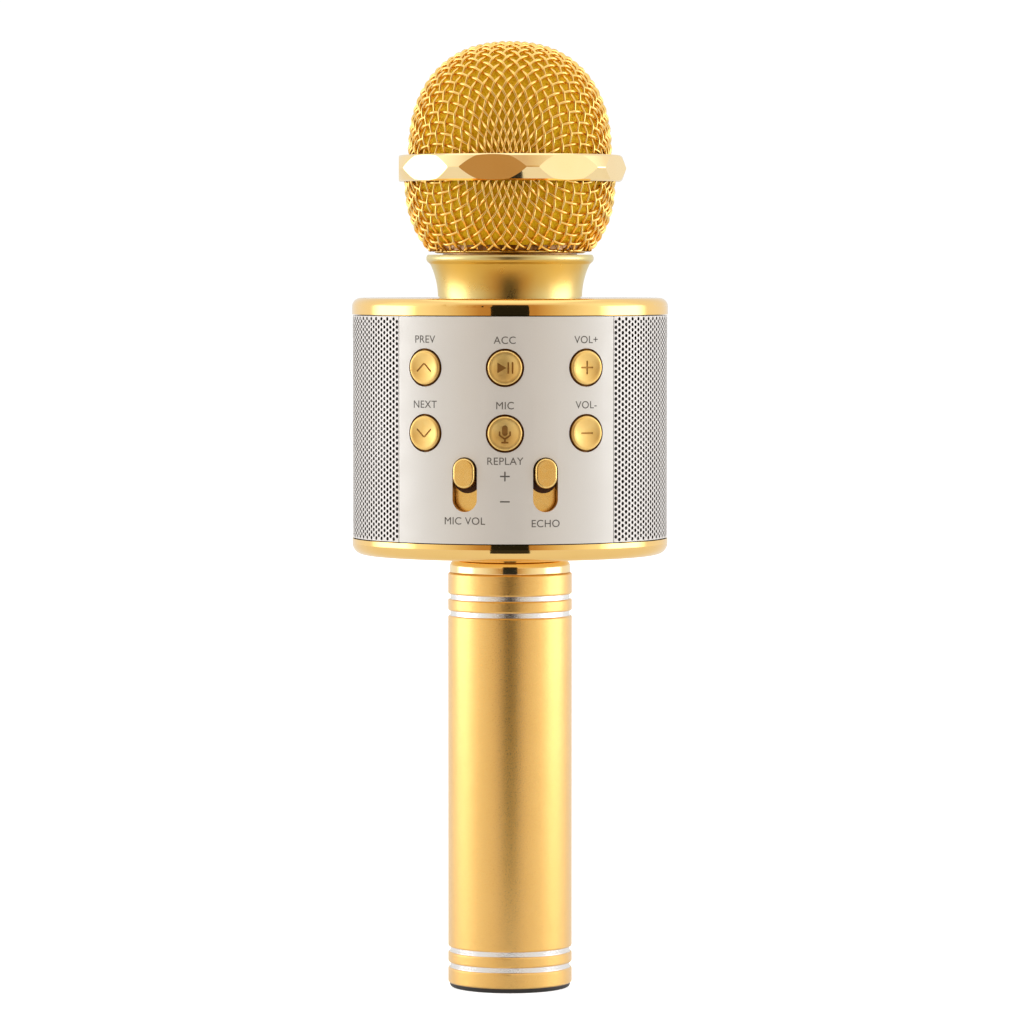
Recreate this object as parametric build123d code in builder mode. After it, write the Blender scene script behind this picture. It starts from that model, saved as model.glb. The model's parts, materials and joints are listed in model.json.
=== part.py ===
"""Hand-held karaoke microphone with a loudspeaker drum and a screw-off wire-mesh head.

Millimetres. +Z runs up the microphone's axis from the centre of its flat base, and the
control panel looks along -Y.
"""
from math import cos, radians, sin
import os

from build123d import *

# ---------------------------------------------------------------- driving dimensions
GAP = 0.3              # air between pieces that move past each other
SEAM = 0.15            # seam between fixed shell pieces

# Drum: two gold caps with a shell of two panels and two grilles between them
DRUM_R = 40.0
DRUM_LOW = 114.6
DRUM_HIGH = 170.7
CAP_LOW = 110.2        # underside of the lower cap
CAP_HIGH = 175.1       # top of the upper cap
TOP_CAP_ROUND = 2.2
LOW_CAP_ROUND = 2.9
CAP_FLOOR = 1.9        # thickness of each cap's flat
CAP_WALL = 2.0
CAP_SEAM = 0.25        # shadow line between a cap's rim and the shell
SPIGOT_R = 37.3        # ring of the chassis that a cap is pressed onto
SPIGOT_T = 3.0
PANEL_T = 1.8
PANEL_HALF = 41.7      # half the angle that a panel spans
GRILLE_T = 0.7
GRILLE_R = 39.8
FRONT = -90.0          # direction in which the control panel looks
REAR = 90.0
RIGHT = 0.0
LEFT = 180.0

# Six push buttons in two rows, two sliders under them
BUTTON_TURN = 30.0
BUTTON_ROWS = (158.1, 141.9)
BUTTON_R = 4.3
BUTTON_HOLE_R = 4.75
BUTTON_FACE = 40.5     # radius of the drum axis that a button's face reaches
BUTTON_FLANGE_R = 5.2
BUTTON_DISH_R = 3.3
FLANGE_TOP = 37.7
FLANGE_T = 0.8
SWITCH_TOP = 36.0
SWITCH_T = 2.0
SWITCH_SIDE = 5.0
PLUNGER_R = 1.15
PLUNGER_LOW = 35.2
BUTTON_ROUND = 0.7
ENGRAVE = 0.25
STROKE = 0.42          # width of an engraved line

SLIDER_TURN = 14.5
SLOT_W = 6.3
SLOT_H = 13.5
SLOT_MID = 129.25
KNOB_W = 5.4
KNOB_H = 7.4
KNOB_FACE = 41.1
KNOB_ROUND = 0.5
SHUTTER_TOP = 37.4
SHUTTER_T = 0.6
SHUTTER_W = 7.2
SLIDER_TRAVEL = 5.4
SHUTTER_LOW = SLOT_MID - SLOT_H / 2 - 0.6
LEVER_W = 1.6
LEVER_H = 1.4
LEVER_LOW = 31.0
POT_TOP = 33.5
POT_BACK = 29.5
POT_W = 8.0
POT_LOW = 121.0
POT_HIGH = 137.2

# Head: woven basket in two halves, joined by a faceted ring that stops it rolling
HEAD_LOW = 186.3
HEAD_TOP = 240.0
BAND_LOW = 204.4
BAND_HIGH = 211.1
BAND_STEP = 207.4
BAND_RIM_R = 27.9
BAND_EDGE_R = 28.45
BAND_BEVEL = 0.45
BAND_TIP_R = 29.45
BAND_TIP_ROUND = 0.8
BAND_FLAT_R = 28.15
BAND_FACETS = 9
BAND_TURN = -97.0      # direction of the first facet
UPPER_R = 25.9
LOWER_R = 26.8
UPPER_CURVE = 2.3      # exponents of the two superellipses
LOWER_CURVE = 2.2
LOWER_DEPTH = 26.0
MESH_T = 1.4           # a woven layer is two wires thick
LINER_T = 3.0
LINER_LOW = 188.4
HEAD_RING_R = 17.0
HEAD_RING_BORE = 15.6
HEAD_SEAT_R = 18.6     # shoulder on which the liner and the lower basket stand
HEAD_RING_LOW = 179.0

# Neck collar under the head
NECK_HIGH = 186.0
NECK_BORE = 17.3
NECK_FOOT_R = 17.9      # a fine shadow line where the neck stands on the cap
NECK_FOOT_T = 0.3
NECK_WAIST_R = 18.25
NECK_MID_R = 18.95
NECK_FLARE_R = 20.2
NECK_RIM_R = 21.2
NECK_MID = 180.3       # height at which the flare begins to open

# Capsule that the head covers
CAPSULE_R = 9.8
CAPSULE_LOW = 190.0
CAPSULE_HIGH = 202.0
HOLDER_R = 12.6

# Handle
HANDLE_R = 15.75
HANDLE_BORE = 14.2
HANDLE_LOW = 1.2
HANDLE_HIGH = 105.5
GROOVES = (5.8, 9.8, 95.3, 99.5)
GROOVE_W = 1.2
GROOVE_DEPTH = 0.6
GROOVE_ROUND = 0.45
COLLAR_R = 15.3
COLLAR_ROUND = 1.6
COLLAR_CREST = 108.5
COLLAR_NECK_R = 12.6
CELL_R = 9.2
CELL_LOW = 20.0
CELL_LENGTH = 65.2
TERMINAL_R = 2.8
TERMINAL_H = 1.5

# Loudspeakers, one behind each grille
SPEAKER_R = 18.0
SPEAKER_MID = 142.1
BAFFLE_IN = 28.0
BAFFLE_OUT = 30.0
CONE_R = 14.8
CONE_BACK = 22.0
CONE_T = 1.2
COIL_R = 5.6
DUST_CAP_R = 7.0
DUST_CAP_TIP = 26.6
SURROUND_IN = 12.4
SURROUND_FACE = 29.8
SURROUND_EDGE = 30.4
MAGNET_R = 11.0
MAGNET_IN = 12.0
MAGNET_OUT = 18.0

# Ports and switch on the rear panel
POWER_MID = 152.0
POWER_SLOT_W = 4.4
POWER_SLOT_H = 9.6
POWER_TRAVEL = 4.0
POWER_KNOB_W = 3.8
POWER_KNOB_H = 5.0
POWER_KNOB_FACE = 40.9
POWER_SHUTTER_TOP = 37.6
POWER_SHUTTER_W = 6.0
POWER_STEM_W = 1.6
POWER_STEM_LOW = 33.6
POWER_SWITCH_TOP = 35.4
POWER_SWITCH_SIZE = (5.0, 12.0)
LAMP_MID = 164.0
LAMP_R = 1.2
USB_MID = 138.5
USB_W = 7.6
USB_H = 2.8
AUX_MID = 128.5
AUX_BORE_R = 1.8
AUX_NOSE_R = 3.2
AUX_DEPTH = 14.0
AUX_BODY_W = 8.0
AUX_BODY_H = 6.0
CARD_MID = 120.0
CARD_W = 12.4
CARD_H = 1.8
PORT_BOARD = 27.0
PORT_BOARD_W = 26.0
BOARD_T = 1.6
SCREW_TURN = 37.0
SCREW_ROWS = (118.0, 166.2)
SCREW_HEAD_R = 2.0
SCREW_R = 0.9
SCREW_SINK = 1.2
SCREW_HEAD_T = 0.9
SCREW_REACH = 4.8      # how far a screw runs into the chassis

os.makedirs("parts", exist_ok=True)


def write(builder, name):
    """Label a finished piece and write it to its own file."""
    builder.part.label = name
    export_step(builder.part, f"parts/{name}.step")


def radial_plane(turn):
    """Plane through the axis, with x outwards in the direction turn and y up."""
    way = (cos(radians(turn)), sin(radians(turn)), 0)
    return Plane(origin=(0, 0, 0), x_dir=way, z_dir=(way[1], -way[0], 0))


def face_plane(turn, radius, height):
    """Plane that looks outwards at the given direction, distance and height."""
    way = (cos(radians(turn)), sin(radians(turn)), 0)
    origin = (radius * way[0], radius * way[1], height)
    return Plane(origin=origin, x_dir=(-way[1], way[0], 0), z_dir=way)


def superellipse(radius, depth, power, base, heights):
    """Outline points of a dome of the given radius and depth, at the given heights."""
    points = []
    for height in heights:
        rise = abs(height - base) / depth
        points.append((radius * (1 - rise ** power) ** (1 / power), height))
    return points


# ---------------------------------------------------------------- drum shell
with BuildPart() as top_cap:
    with BuildSketch(Plane.XY.offset(DRUM_HIGH + CAP_SEAM)):
        Circle(DRUM_R)
    extrude(amount=CAP_HIGH - DRUM_HIGH - CAP_SEAM)
    fillet(top_cap.edges().group_by(Axis.Z)[-1], TOP_CAP_ROUND)
    with BuildSketch(Plane.XY.offset(DRUM_HIGH)):
        Circle(DRUM_R - CAP_WALL)
    extrude(amount=CAP_HIGH - DRUM_HIGH - CAP_FLOOR, mode=Mode.SUBTRACT)
    with BuildSketch(Plane.XY.offset(DRUM_HIGH)):
        Circle(HOLDER_R - 0.6)
    extrude(amount=CAP_HIGH - DRUM_HIGH, mode=Mode.SUBTRACT)
write(top_cap, "top_cap")

INSERT_NECK_R = 11.0
with BuildPart() as bottom_cap:
    with BuildSketch(Plane.XY.offset(CAP_LOW)):
        Circle(DRUM_R)
    extrude(amount=DRUM_LOW - CAP_SEAM - CAP_LOW)
    fillet(bottom_cap.edges().group_by(Axis.Z)[0], LOW_CAP_ROUND)
    with BuildSketch(Plane.XY.offset(CAP_LOW + CAP_FLOOR)):
        Circle(DRUM_R - CAP_WALL - 0.6)
    extrude(amount=DRUM_LOW - CAP_LOW - CAP_FLOOR, mode=Mode.SUBTRACT)
    with BuildSketch(Plane.XY.offset(CAP_LOW)):
        Circle(INSERT_NECK_R + SEAM)
    extrude(amount=DRUM_LOW - CAP_LOW, mode=Mode.SUBTRACT)
write(bottom_cap, "bottom_cap")

BUTTON_NAMES = (
    ("previous", "play_pause", "volume_up"),
    ("next", "microphone", "volume_down"),
)
SLIDER_TURNS = {"microphone_volume": FRONT - SLIDER_TURN, "echo": FRONT + SLIDER_TURN}
BUTTON_TURNS = (FRONT - BUTTON_TURN, FRONT, FRONT + BUTTON_TURN)
SHELL_MID = (DRUM_LOW + DRUM_HIGH) / 2
SHELL_H = DRUM_HIGH - DRUM_LOW

with BuildPart() as front_panel:
    with BuildSketch(radial_plane(FRONT - PANEL_HALF)):
        with Locations((DRUM_R - PANEL_T / 2, SHELL_MID)):
            Rectangle(PANEL_T, SHELL_H)
    revolve(axis=Axis.Z, revolution_arc=2 * PANEL_HALF)
    for height in BUTTON_ROWS:
        for turn in BUTTON_TURNS:
            with BuildSketch(face_plane(turn, DRUM_R, height)):
                Circle(BUTTON_HOLE_R)
            extrude(amount=2 * PANEL_T, both=True, mode=Mode.SUBTRACT)
    for turn in SLIDER_TURNS.values():
        with BuildSketch(face_plane(turn, DRUM_R, SLOT_MID)):
            SlotOverall(SLOT_H, SLOT_W, rotation=90)
        extrude(amount=2 * PANEL_T, both=True, mode=Mode.SUBTRACT)
write(front_panel, "front_panel")

with BuildPart() as rear_panel:
    with BuildSketch(radial_plane(REAR - PANEL_HALF)):
        with Locations((DRUM_R - PANEL_T / 2, SHELL_MID)):
            Rectangle(PANEL_T, SHELL_H)
    revolve(axis=Axis.Z, revolution_arc=2 * PANEL_HALF)
    with BuildSketch(face_plane(REAR, DRUM_R, POWER_MID)):
        SlotOverall(POWER_SLOT_H, POWER_SLOT_W, rotation=90)
    extrude(amount=2 * PANEL_T, both=True, mode=Mode.SUBTRACT)
    with BuildSketch(face_plane(REAR, DRUM_R, LAMP_MID)):
        Circle(LAMP_R + 0.1)
    extrude(amount=2 * PANEL_T, both=True, mode=Mode.SUBTRACT)
    with BuildSketch(face_plane(REAR, DRUM_R, USB_MID)):
        RectangleRounded(USB_W + 0.6, USB_H + 0.6, 1.0)
    extrude(amount=2 * PANEL_T, both=True, mode=Mode.SUBTRACT)
    with BuildSketch(face_plane(REAR, DRUM_R, AUX_MID)):
        Circle(AUX_NOSE_R + 0.1)
    extrude(amount=2 * PANEL_T, both=True, mode=Mode.SUBTRACT)
    with BuildSketch(face_plane(REAR, DRUM_R, CARD_MID)):
        SlotOverall(CARD_W + 0.8, CARD_H + 0.4)
    extrude(amount=2 * PANEL_T, both=True, mode=Mode.SUBTRACT)
    for height in SCREW_ROWS:
        for turn in (REAR - SCREW_TURN, REAR + SCREW_TURN):
            with Locations(face_plane(turn, DRUM_R, height)):
                CounterBoreHole(SCREW_R + 0.2, SCREW_HEAD_R + 0.2, SCREW_SINK, 2 * PANEL_T)
write(rear_panel, "rear_panel")

GRILLE_HALF = 90 - PANEL_HALF - 0.2
for name, turn in (("left_grille", LEFT), ("right_grille", RIGHT)):
    with BuildPart() as grille:
        with BuildSketch(radial_plane(turn - GRILLE_HALF)):
            with Locations((GRILLE_R - GRILLE_T / 2, SHELL_MID)):
                Rectangle(GRILLE_T, SHELL_H)
        revolve(axis=Axis.Z, revolution_arc=2 * GRILLE_HALF)
    write(grille, name)

# ---------------------------------------------------------------- chassis inside the drum
PLATE_T = 2.5
CHASSIS_R = DRUM_R - PANEL_T - 0.1
FRONT_POST = (43.4, 4.2)      # centre and half-angle of a post, measured from the front
REAR_POST = (39.0, 6.5)       # the same from the rear, wide enough for a screw
POST_T = 4.4
BAFFLE_HALF = 22.0

with BuildPart() as chassis:
    for low in (DRUM_LOW, DRUM_HIGH - PLATE_T):
        with BuildSketch(Plane.XY.offset(low)):
            Circle(CHASSIS_R)
            Circle(INSERT_NECK_R + SEAM, mode=Mode.SUBTRACT)
        extrude(amount=PLATE_T)
    for low, high in ((CAP_LOW + CAP_FLOOR, DRUM_LOW), (DRUM_HIGH, CAP_HIGH - CAP_FLOOR)):
        with BuildSketch(Plane.XY.offset(low)):
            Circle(SPIGOT_R)
            Circle(SPIGOT_R - SPIGOT_T, mode=Mode.SUBTRACT)
        extrude(amount=high - low)
    posts = []
    for side in (-1, 1):
        posts.append((FRONT + side * FRONT_POST[0], FRONT_POST[1]))
        posts.append((REAR + side * REAR_POST[0], REAR_POST[1]))
    for turn, half in posts:
        with BuildSketch(radial_plane(turn - half)):
            with Locations((CHASSIS_R - 0.1 - POST_T / 2, SHELL_MID)):
                Rectangle(POST_T, SHELL_H - PLATE_T)
        revolve(axis=Axis.Z, revolution_arc=2 * half)
    for turn in (LEFT, RIGHT):
        with BuildSketch(face_plane(turn, BAFFLE_IN, SHELL_MID)):
            Rectangle(2 * BAFFLE_HALF, SHELL_H - PLATE_T)
            with Locations((0, SPEAKER_MID - SHELL_MID)):
                Circle(SPEAKER_R - 1.2, mode=Mode.SUBTRACT)
        extrude(amount=BAFFLE_OUT - BAFFLE_IN)
    # Relief in the lower plate that the slider shutters drop into.
    notch_low = SHUTTER_LOW - SLIDER_TRAVEL - GAP
    notch_high = DRUM_LOW + PLATE_T + 0.1
    for turn in SLIDER_TURNS.values():
        notch_in = SHUTTER_TOP - SHUTTER_T - GAP
        with BuildSketch(face_plane(turn, notch_in, (notch_low + notch_high) / 2)):
            Rectangle(SHUTTER_W + 2 * GAP, notch_high - notch_low)
        extrude(amount=CHASSIS_R, mode=Mode.SUBTRACT)
    for height in SCREW_ROWS:
        for turn in (REAR - SCREW_TURN, REAR + SCREW_TURN):
            with Locations(face_plane(turn, CHASSIS_R, height)):
                Hole(SCREW_R + 0.05, depth=SCREW_REACH + 0.2)
write(chassis, "chassis")

# ---------------------------------------------------------------- loudspeakers
for side, turn in (("left", LEFT), ("right", RIGHT)):
    with BuildPart() as frame:
        with BuildSketch(face_plane(turn, BAFFLE_OUT, SPEAKER_MID)):
            Circle(SPEAKER_R)
            Circle(SPEAKER_R - 1.5, mode=Mode.SUBTRACT)
        extrude(amount=1.4)
        with BuildSketch(face_plane(turn, BAFFLE_OUT, SPEAKER_MID)):
            Circle(SPEAKER_R - 1.3)
        with BuildSketch(face_plane(turn, MAGNET_OUT, SPEAKER_MID)):
            Circle(MAGNET_R)
        loft()
        with BuildSketch(face_plane(turn, BAFFLE_OUT, SPEAKER_MID)):
            Circle(SPEAKER_R - 2.3)
        with BuildSketch(face_plane(turn, MAGNET_OUT + 1, SPEAKER_MID)):
            Circle(MAGNET_R - 1.6)
        loft(mode=Mode.SUBTRACT)
        with BuildSketch(face_plane(turn, BAFFLE_OUT, SPEAKER_MID)):
            Circle(SPEAKER_R - 2.3)
        extrude(amount=1.4, mode=Mode.SUBTRACT)
    write(frame, f"{side}_speaker_frame")

    with BuildPart() as magnet:
        with BuildSketch(face_plane(turn, MAGNET_IN, SPEAKER_MID)):
            Circle(MAGNET_R)
        extrude(amount=MAGNET_OUT - MAGNET_IN)
        chamfer(magnet.edges().filter_by(GeomType.CIRCLE), 0.5)
    write(magnet, f"{side}_speaker_magnet")

    dust_cap_edge = (CONE_BACK + 2 * CONE_T, SPEAKER_MID + DUST_CAP_R)
    with BuildPart() as cone:
        with BuildSketch(radial_plane(turn)):
            with BuildLine():
                Polyline(
                    (DUST_CAP_TIP, SPEAKER_MID),
                    (CONE_BACK, SPEAKER_MID),
                    (CONE_BACK, SPEAKER_MID + COIL_R),
                    (SURROUND_FACE - CONE_T, SPEAKER_MID + SURROUND_IN),
                    (SURROUND_EDGE - CONE_T, SPEAKER_MID + CONE_R),
                    (SURROUND_EDGE, SPEAKER_MID + CONE_R),
                    (SURROUND_FACE, SPEAKER_MID + SURROUND_IN),
                    dust_cap_edge,
                )
                TangentArc((DUST_CAP_TIP, SPEAKER_MID), dust_cap_edge, tangent=(0, 1))
            make_face()
        way = (cos(radians(turn)), sin(radians(turn)), 0)
        revolve(axis=Axis((0, 0, SPEAKER_MID), way))
    write(cone, f"{side}_speaker_cone")

# ---------------------------------------------------------------- controls on the front
CARRIER_R = SWITCH_TOP - SWITCH_T
CARRIER_HALF = 36.0
CARRIER_STEP = POT_HIGH + 0.3

with BuildPart() as control_carrier:
    with BuildSketch(radial_plane(FRONT - CARRIER_HALF)):
        with BuildLine():
            Polyline(
                (CARRIER_R, DRUM_HIGH - PLATE_T),
                (CARRIER_R, CARRIER_STEP),
                (POT_BACK, CARRIER_STEP),
                (POT_BACK, DRUM_LOW + PLATE_T),
                (POT_BACK - 1.2, DRUM_LOW + PLATE_T),
                (POT_BACK - 1.2, CARRIER_STEP + 1.2),
                (CARRIER_R - 1.2, CARRIER_STEP + 1.2),
                (CARRIER_R - 1.2, DRUM_HIGH - PLATE_T),
                close=True,
            )
        make_face()
    revolve(axis=Axis.Z, revolution_arc=2 * CARRIER_HALF)
write(control_carrier, "control_carrier")

with BuildPart() as key_switches:
    for height in BUTTON_ROWS:
        for turn in BUTTON_TURNS:
            with BuildSketch(face_plane(turn, CARRIER_R, height)):
                RectangleRounded(SWITCH_SIDE, SWITCH_SIDE, 0.4)
            extrude(amount=SWITCH_T)
            with BuildSketch(face_plane(turn, CARRIER_R + 0.6, height)):
                Circle(PLUNGER_R + 0.1)
            extrude(amount=SWITCH_T, mode=Mode.SUBTRACT)
write(key_switches, "key_switches")


def draw_symbol(name):
    """Draw a button's engraved symbol in the sketch that is open, centred on its face."""
    if name in ("volume_up", "volume_down"):
        SlotOverall(3.4, STROKE)
        if name == "volume_up":
            SlotOverall(3.4, STROKE, rotation=90)
    elif name in ("previous", "next"):
        tip = 1 if name == "previous" else -1
        for side in (-1, 1):
            with Locations((side * 1.05, 0)):
                SlotOverall(2.9, STROKE, rotation=-45 * side * tip)
    elif name == "play_pause":
        with Locations((-1.1, 0)):
            RegularPolygon(1.5, 3)
        with Locations((0.85, 0), (1.9, 0)):
            SlotOverall(2.9, STROKE, rotation=90)
    else:
        with Locations((0, 0.75)):
            SlotOverall(2.6, 1.4, rotation=90)
        for side in (-1, 1):
            with Locations((side * 1.3, 0.0)):
                SlotOverall(1.2, STROKE, rotation=90)
            with Locations((side * 0.65, -0.9)):
                SlotOverall(1.6, STROKE, rotation=side * 35)
        with Locations((0, -1.6)):
            SlotOverall(1.2, STROKE, rotation=90)
        with Locations((0, -2.2)):
            SlotOverall(1.8, STROKE)


FLANGE_LOW = FLANGE_TOP - FLANGE_T
DISH_SPHERE = 24.0
DISH_DEPTH = DISH_SPHERE - (DISH_SPHERE ** 2 - BUTTON_DISH_R ** 2) ** 0.5

for height, names in zip(BUTTON_ROWS, BUTTON_NAMES):
    for turn, name in zip(BUTTON_TURNS, names):
        with BuildPart() as button:
            with BuildSketch(face_plane(turn, FLANGE_LOW, height)):
                Circle(BUTTON_FLANGE_R)
            extrude(amount=FLANGE_T)
            with BuildSketch(face_plane(turn, FLANGE_TOP, height)):
                Circle(BUTTON_R)
            extrude(amount=BUTTON_FACE - FLANGE_TOP)
            facing = Axis(face_plane(turn, 0, height).origin, face_plane(turn, 0, height).z_dir)
            fillet(button.edges().group_by(facing)[-1], BUTTON_ROUND)
            with Locations(face_plane(turn, BUTTON_FACE + DISH_SPHERE - DISH_DEPTH, height)):
                Sphere(DISH_SPHERE, mode=Mode.SUBTRACT)
            with BuildSketch(face_plane(turn, BUTTON_FACE - DISH_DEPTH - ENGRAVE, height)):
                draw_symbol(name)
            extrude(amount=1, mode=Mode.SUBTRACT)
        write(button, f"{name}_button")

        with BuildPart() as plunger:
            with BuildSketch(face_plane(turn, PLUNGER_LOW, height)):
                Circle(PLUNGER_R)
            extrude(amount=FLANGE_LOW - PLUNGER_LOW)
        write(plunger, f"{name}_plunger")

KNOB_REST = SLOT_MID + (SLOT_H - KNOB_H) / 2 - 0.25
SHUTTER_HIGH = SLOT_MID + SLOT_H / 2 + SLIDER_TRAVEL + 0.4
SHUTTER_MID = (SHUTTER_LOW + SHUTTER_HIGH) / 2

for name, turn in SLIDER_TURNS.items():
    with BuildPart() as knob:
        with BuildSketch(face_plane(turn, SHUTTER_TOP, KNOB_REST)):
            SlotOverall(KNOB_H, KNOB_W, rotation=90)
        extrude(amount=KNOB_FACE - SHUTTER_TOP)
        facing = Axis(face_plane(turn, 0, 0).origin, face_plane(turn, 0, 0).z_dir)
        fillet(knob.edges().group_by(facing)[-1], KNOB_ROUND)
        with BuildSketch(face_plane(turn, SHUTTER_TOP - SHUTTER_T, SHUTTER_MID)):
            Rectangle(SHUTTER_W, SHUTTER_HIGH - SHUTTER_LOW)
        extrude(amount=SHUTTER_T)
    write(knob, f"{name}_knob")

    with BuildPart() as lever:
        with BuildSketch(face_plane(turn, LEVER_LOW, KNOB_REST)):
            Rectangle(LEVER_W, LEVER_H)
        extrude(amount=SHUTTER_TOP - SHUTTER_T - LEVER_LOW)
    write(lever, f"{name}_lever")

    slit_low = KNOB_REST - SLIDER_TRAVEL - LEVER_H / 2 - GAP
    slit_high = KNOB_REST + LEVER_H / 2 + GAP
    with BuildPart() as pot:
        with BuildSketch(face_plane(turn, POT_BACK, (POT_LOW + POT_HIGH) / 2)):
            Rectangle(POT_W, POT_HIGH - POT_LOW)
        extrude(amount=POT_TOP - POT_BACK)
        with BuildSketch(face_plane(turn, LEVER_LOW - GAP, (slit_low + slit_high) / 2)):
            Rectangle(LEVER_W + 2 * GAP, slit_high - slit_low)
        extrude(amount=POT_TOP, mode=Mode.SUBTRACT)
    write(pot, f"{name}_pot")

# ---------------------------------------------------------------- ports and switch at the rear
BOARD_FACE = PORT_BOARD + BOARD_T
with BuildPart() as port_board:
    with BuildSketch(face_plane(REAR, PORT_BOARD, SHELL_MID)):
        Rectangle(PORT_BOARD_W, SHELL_H - 2 * PLATE_T)
        with Locations((0, AUX_MID - SHELL_MID)):
            Rectangle(AUX_BODY_W + 0.2, AUX_BODY_H + 0.2, mode=Mode.SUBTRACT)
    extrude(amount=BOARD_T)
write(port_board, "port_board")

with BuildPart() as usb_socket:
    with BuildSketch(face_plane(REAR, BOARD_FACE, USB_MID)):
        RectangleRounded(USB_W, USB_H, 0.6)
    extrude(amount=DRUM_R - 0.6 - BOARD_FACE)
    with BuildSketch(face_plane(REAR, DRUM_R - 6.2, USB_MID)):
        RectangleRounded(USB_W - 0.7, USB_H - 0.7, 0.3)
    extrude(amount=8, mode=Mode.SUBTRACT)
    with BuildSketch(face_plane(REAR, DRUM_R - 6.3, USB_MID + 0.25)):
        Rectangle(USB_W - 2.6, 0.7)
    extrude(amount=4.6)
write(usb_socket, "usb_socket")

with BuildPart() as aux_jack:
    with BuildSketch(face_plane(REAR, DRUM_R - AUX_DEPTH - 1.0, AUX_MID)):
        Rectangle(AUX_BODY_W, AUX_BODY_H)
    extrude(amount=AUX_DEPTH - 1.0)
    with BuildSketch(face_plane(REAR, DRUM_R - 2.0, AUX_MID)):
        Circle(AUX_NOSE_R)
    extrude(amount=2.1)
    with BuildSketch(face_plane(REAR, DRUM_R - AUX_DEPTH, AUX_MID)):
        Circle(AUX_BORE_R)
    extrude(amount=AUX_DEPTH + 1, mode=Mode.SUBTRACT)
write(aux_jack, "aux_jack")

with BuildPart() as card_socket:
    with BuildSketch(face_plane(REAR, BOARD_FACE, CARD_MID)):
        Rectangle(CARD_W + 1.2, CARD_H + 1.4)
    extrude(amount=9.0)
    with BuildSketch(face_plane(REAR, BOARD_FACE + 1.0, CARD_MID)):
        Rectangle(CARD_W - 1.0, CARD_H - 0.8)
    extrude(amount=9.0, mode=Mode.SUBTRACT)
write(card_socket, "card_socket")

with BuildPart() as status_lamp:
    with BuildSketch(face_plane(REAR, BOARD_FACE, LAMP_MID)):
        Circle(LAMP_R)
    extrude(amount=DRUM_R - BOARD_FACE)
    facing = Axis((0, 0, 0), (0, 1, 0))
    fillet(status_lamp.edges().group_by(facing)[-1], 0.5)
write(status_lamp, "status_lamp")

POWER_REST = POWER_MID + POWER_TRAVEL / 2
with BuildPart() as power_knob:
    with BuildSketch(face_plane(REAR, POWER_SHUTTER_TOP, POWER_REST)):
        SlotOverall(POWER_KNOB_H, POWER_KNOB_W, rotation=90)
    extrude(amount=POWER_KNOB_FACE - POWER_SHUTTER_TOP)
    for rise in (-1.4, -0.7, 0.0, 0.7, 1.4):
        with BuildSketch(face_plane(REAR, POWER_KNOB_FACE - 0.25, POWER_REST + rise)):
            Rectangle(POWER_KNOB_W, 0.3)
        extrude(amount=1, mode=Mode.SUBTRACT)
    with BuildSketch(face_plane(REAR, POWER_SHUTTER_TOP - SHUTTER_T, POWER_REST)):
        Rectangle(POWER_SHUTTER_W, POWER_SLOT_H + POWER_TRAVEL + 0.8)
    extrude(amount=SHUTTER_T)
    with BuildSketch(face_plane(REAR, POWER_STEM_LOW, POWER_REST)):
        Rectangle(POWER_STEM_W, POWER_STEM_W)
    extrude(amount=POWER_SHUTTER_TOP - SHUTTER_T - POWER_STEM_LOW)
write(power_knob, "power_knob")

with BuildPart() as power_switch:
    with BuildSketch(face_plane(REAR, BOARD_FACE, POWER_MID)):
        Rectangle(*POWER_SWITCH_SIZE)
    extrude(amount=POWER_SWITCH_TOP - BOARD_FACE)
    with BuildSketch(face_plane(REAR, POWER_STEM_LOW - GAP, POWER_MID)):
        Rectangle(POWER_STEM_W + 2 * GAP, POWER_TRAVEL + POWER_STEM_W + 2 * GAP)
    extrude(amount=4, mode=Mode.SUBTRACT)
write(power_switch, "power_switch")

with BuildPart() as rear_screws:
    for height in SCREW_ROWS:
        for turn in (REAR - SCREW_TURN, REAR + SCREW_TURN):
            with BuildSketch(face_plane(turn, DRUM_R - SCREW_SINK, height)):
                Circle(SCREW_HEAD_R)
            extrude(amount=SCREW_HEAD_T)
            with BuildSketch(face_plane(turn, CHASSIS_R - SCREW_REACH, height)):
                Circle(SCREW_R)
            extrude(amount=DRUM_R - SCREW_SINK - CHASSIS_R + SCREW_REACH)
            with BuildSketch(face_plane(turn, DRUM_R - SCREW_HEAD_T + 0.1, height)):
                SlotOverall(2.4, 0.5)
                SlotOverall(2.4, 0.5, rotation=90)
            extrude(amount=1, mode=Mode.SUBTRACT)
write(rear_screws, "rear_screws")

# ---------------------------------------------------------------- main circuit board
MAIN_BOARD = 14.0
MAIN_BOARD_W = 32.0
MAIN_BOARD_H = 44.0
CHIPS = (                  # across, up, width, height and thickness of each component
    (0, 4, 7, 7, 1.0),
    (-9, 8, 5, 4, 1.2),
    (9, 8, 5, 4, 1.2),
    (-8, -10, 6, 6, 3.5),
    (9, -9, 4, 9, 2.5),
    (2, -13, 5, 3, 1.0),
)
with BuildPart() as main_board:
    with BuildSketch(face_plane(REAR, MAIN_BOARD, SHELL_MID)):
        RectangleRounded(MAIN_BOARD_W, MAIN_BOARD_H, 1.5)
        with GridLocations(MAIN_BOARD_W - 6, MAIN_BOARD_H - 6, 2, 2):
            Circle(1.1, mode=Mode.SUBTRACT)
    extrude(amount=BOARD_T)
write(main_board, "main_board")

with BuildPart() as board_chips:
    for across, rise, width, tall, thick in CHIPS:
        with BuildSketch(face_plane(REAR, MAIN_BOARD + BOARD_T, SHELL_MID + rise)):
            with Locations((across, 0)):
                Rectangle(width, tall)
        extrude(amount=thick)
write(board_chips, "board_chips")

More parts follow.
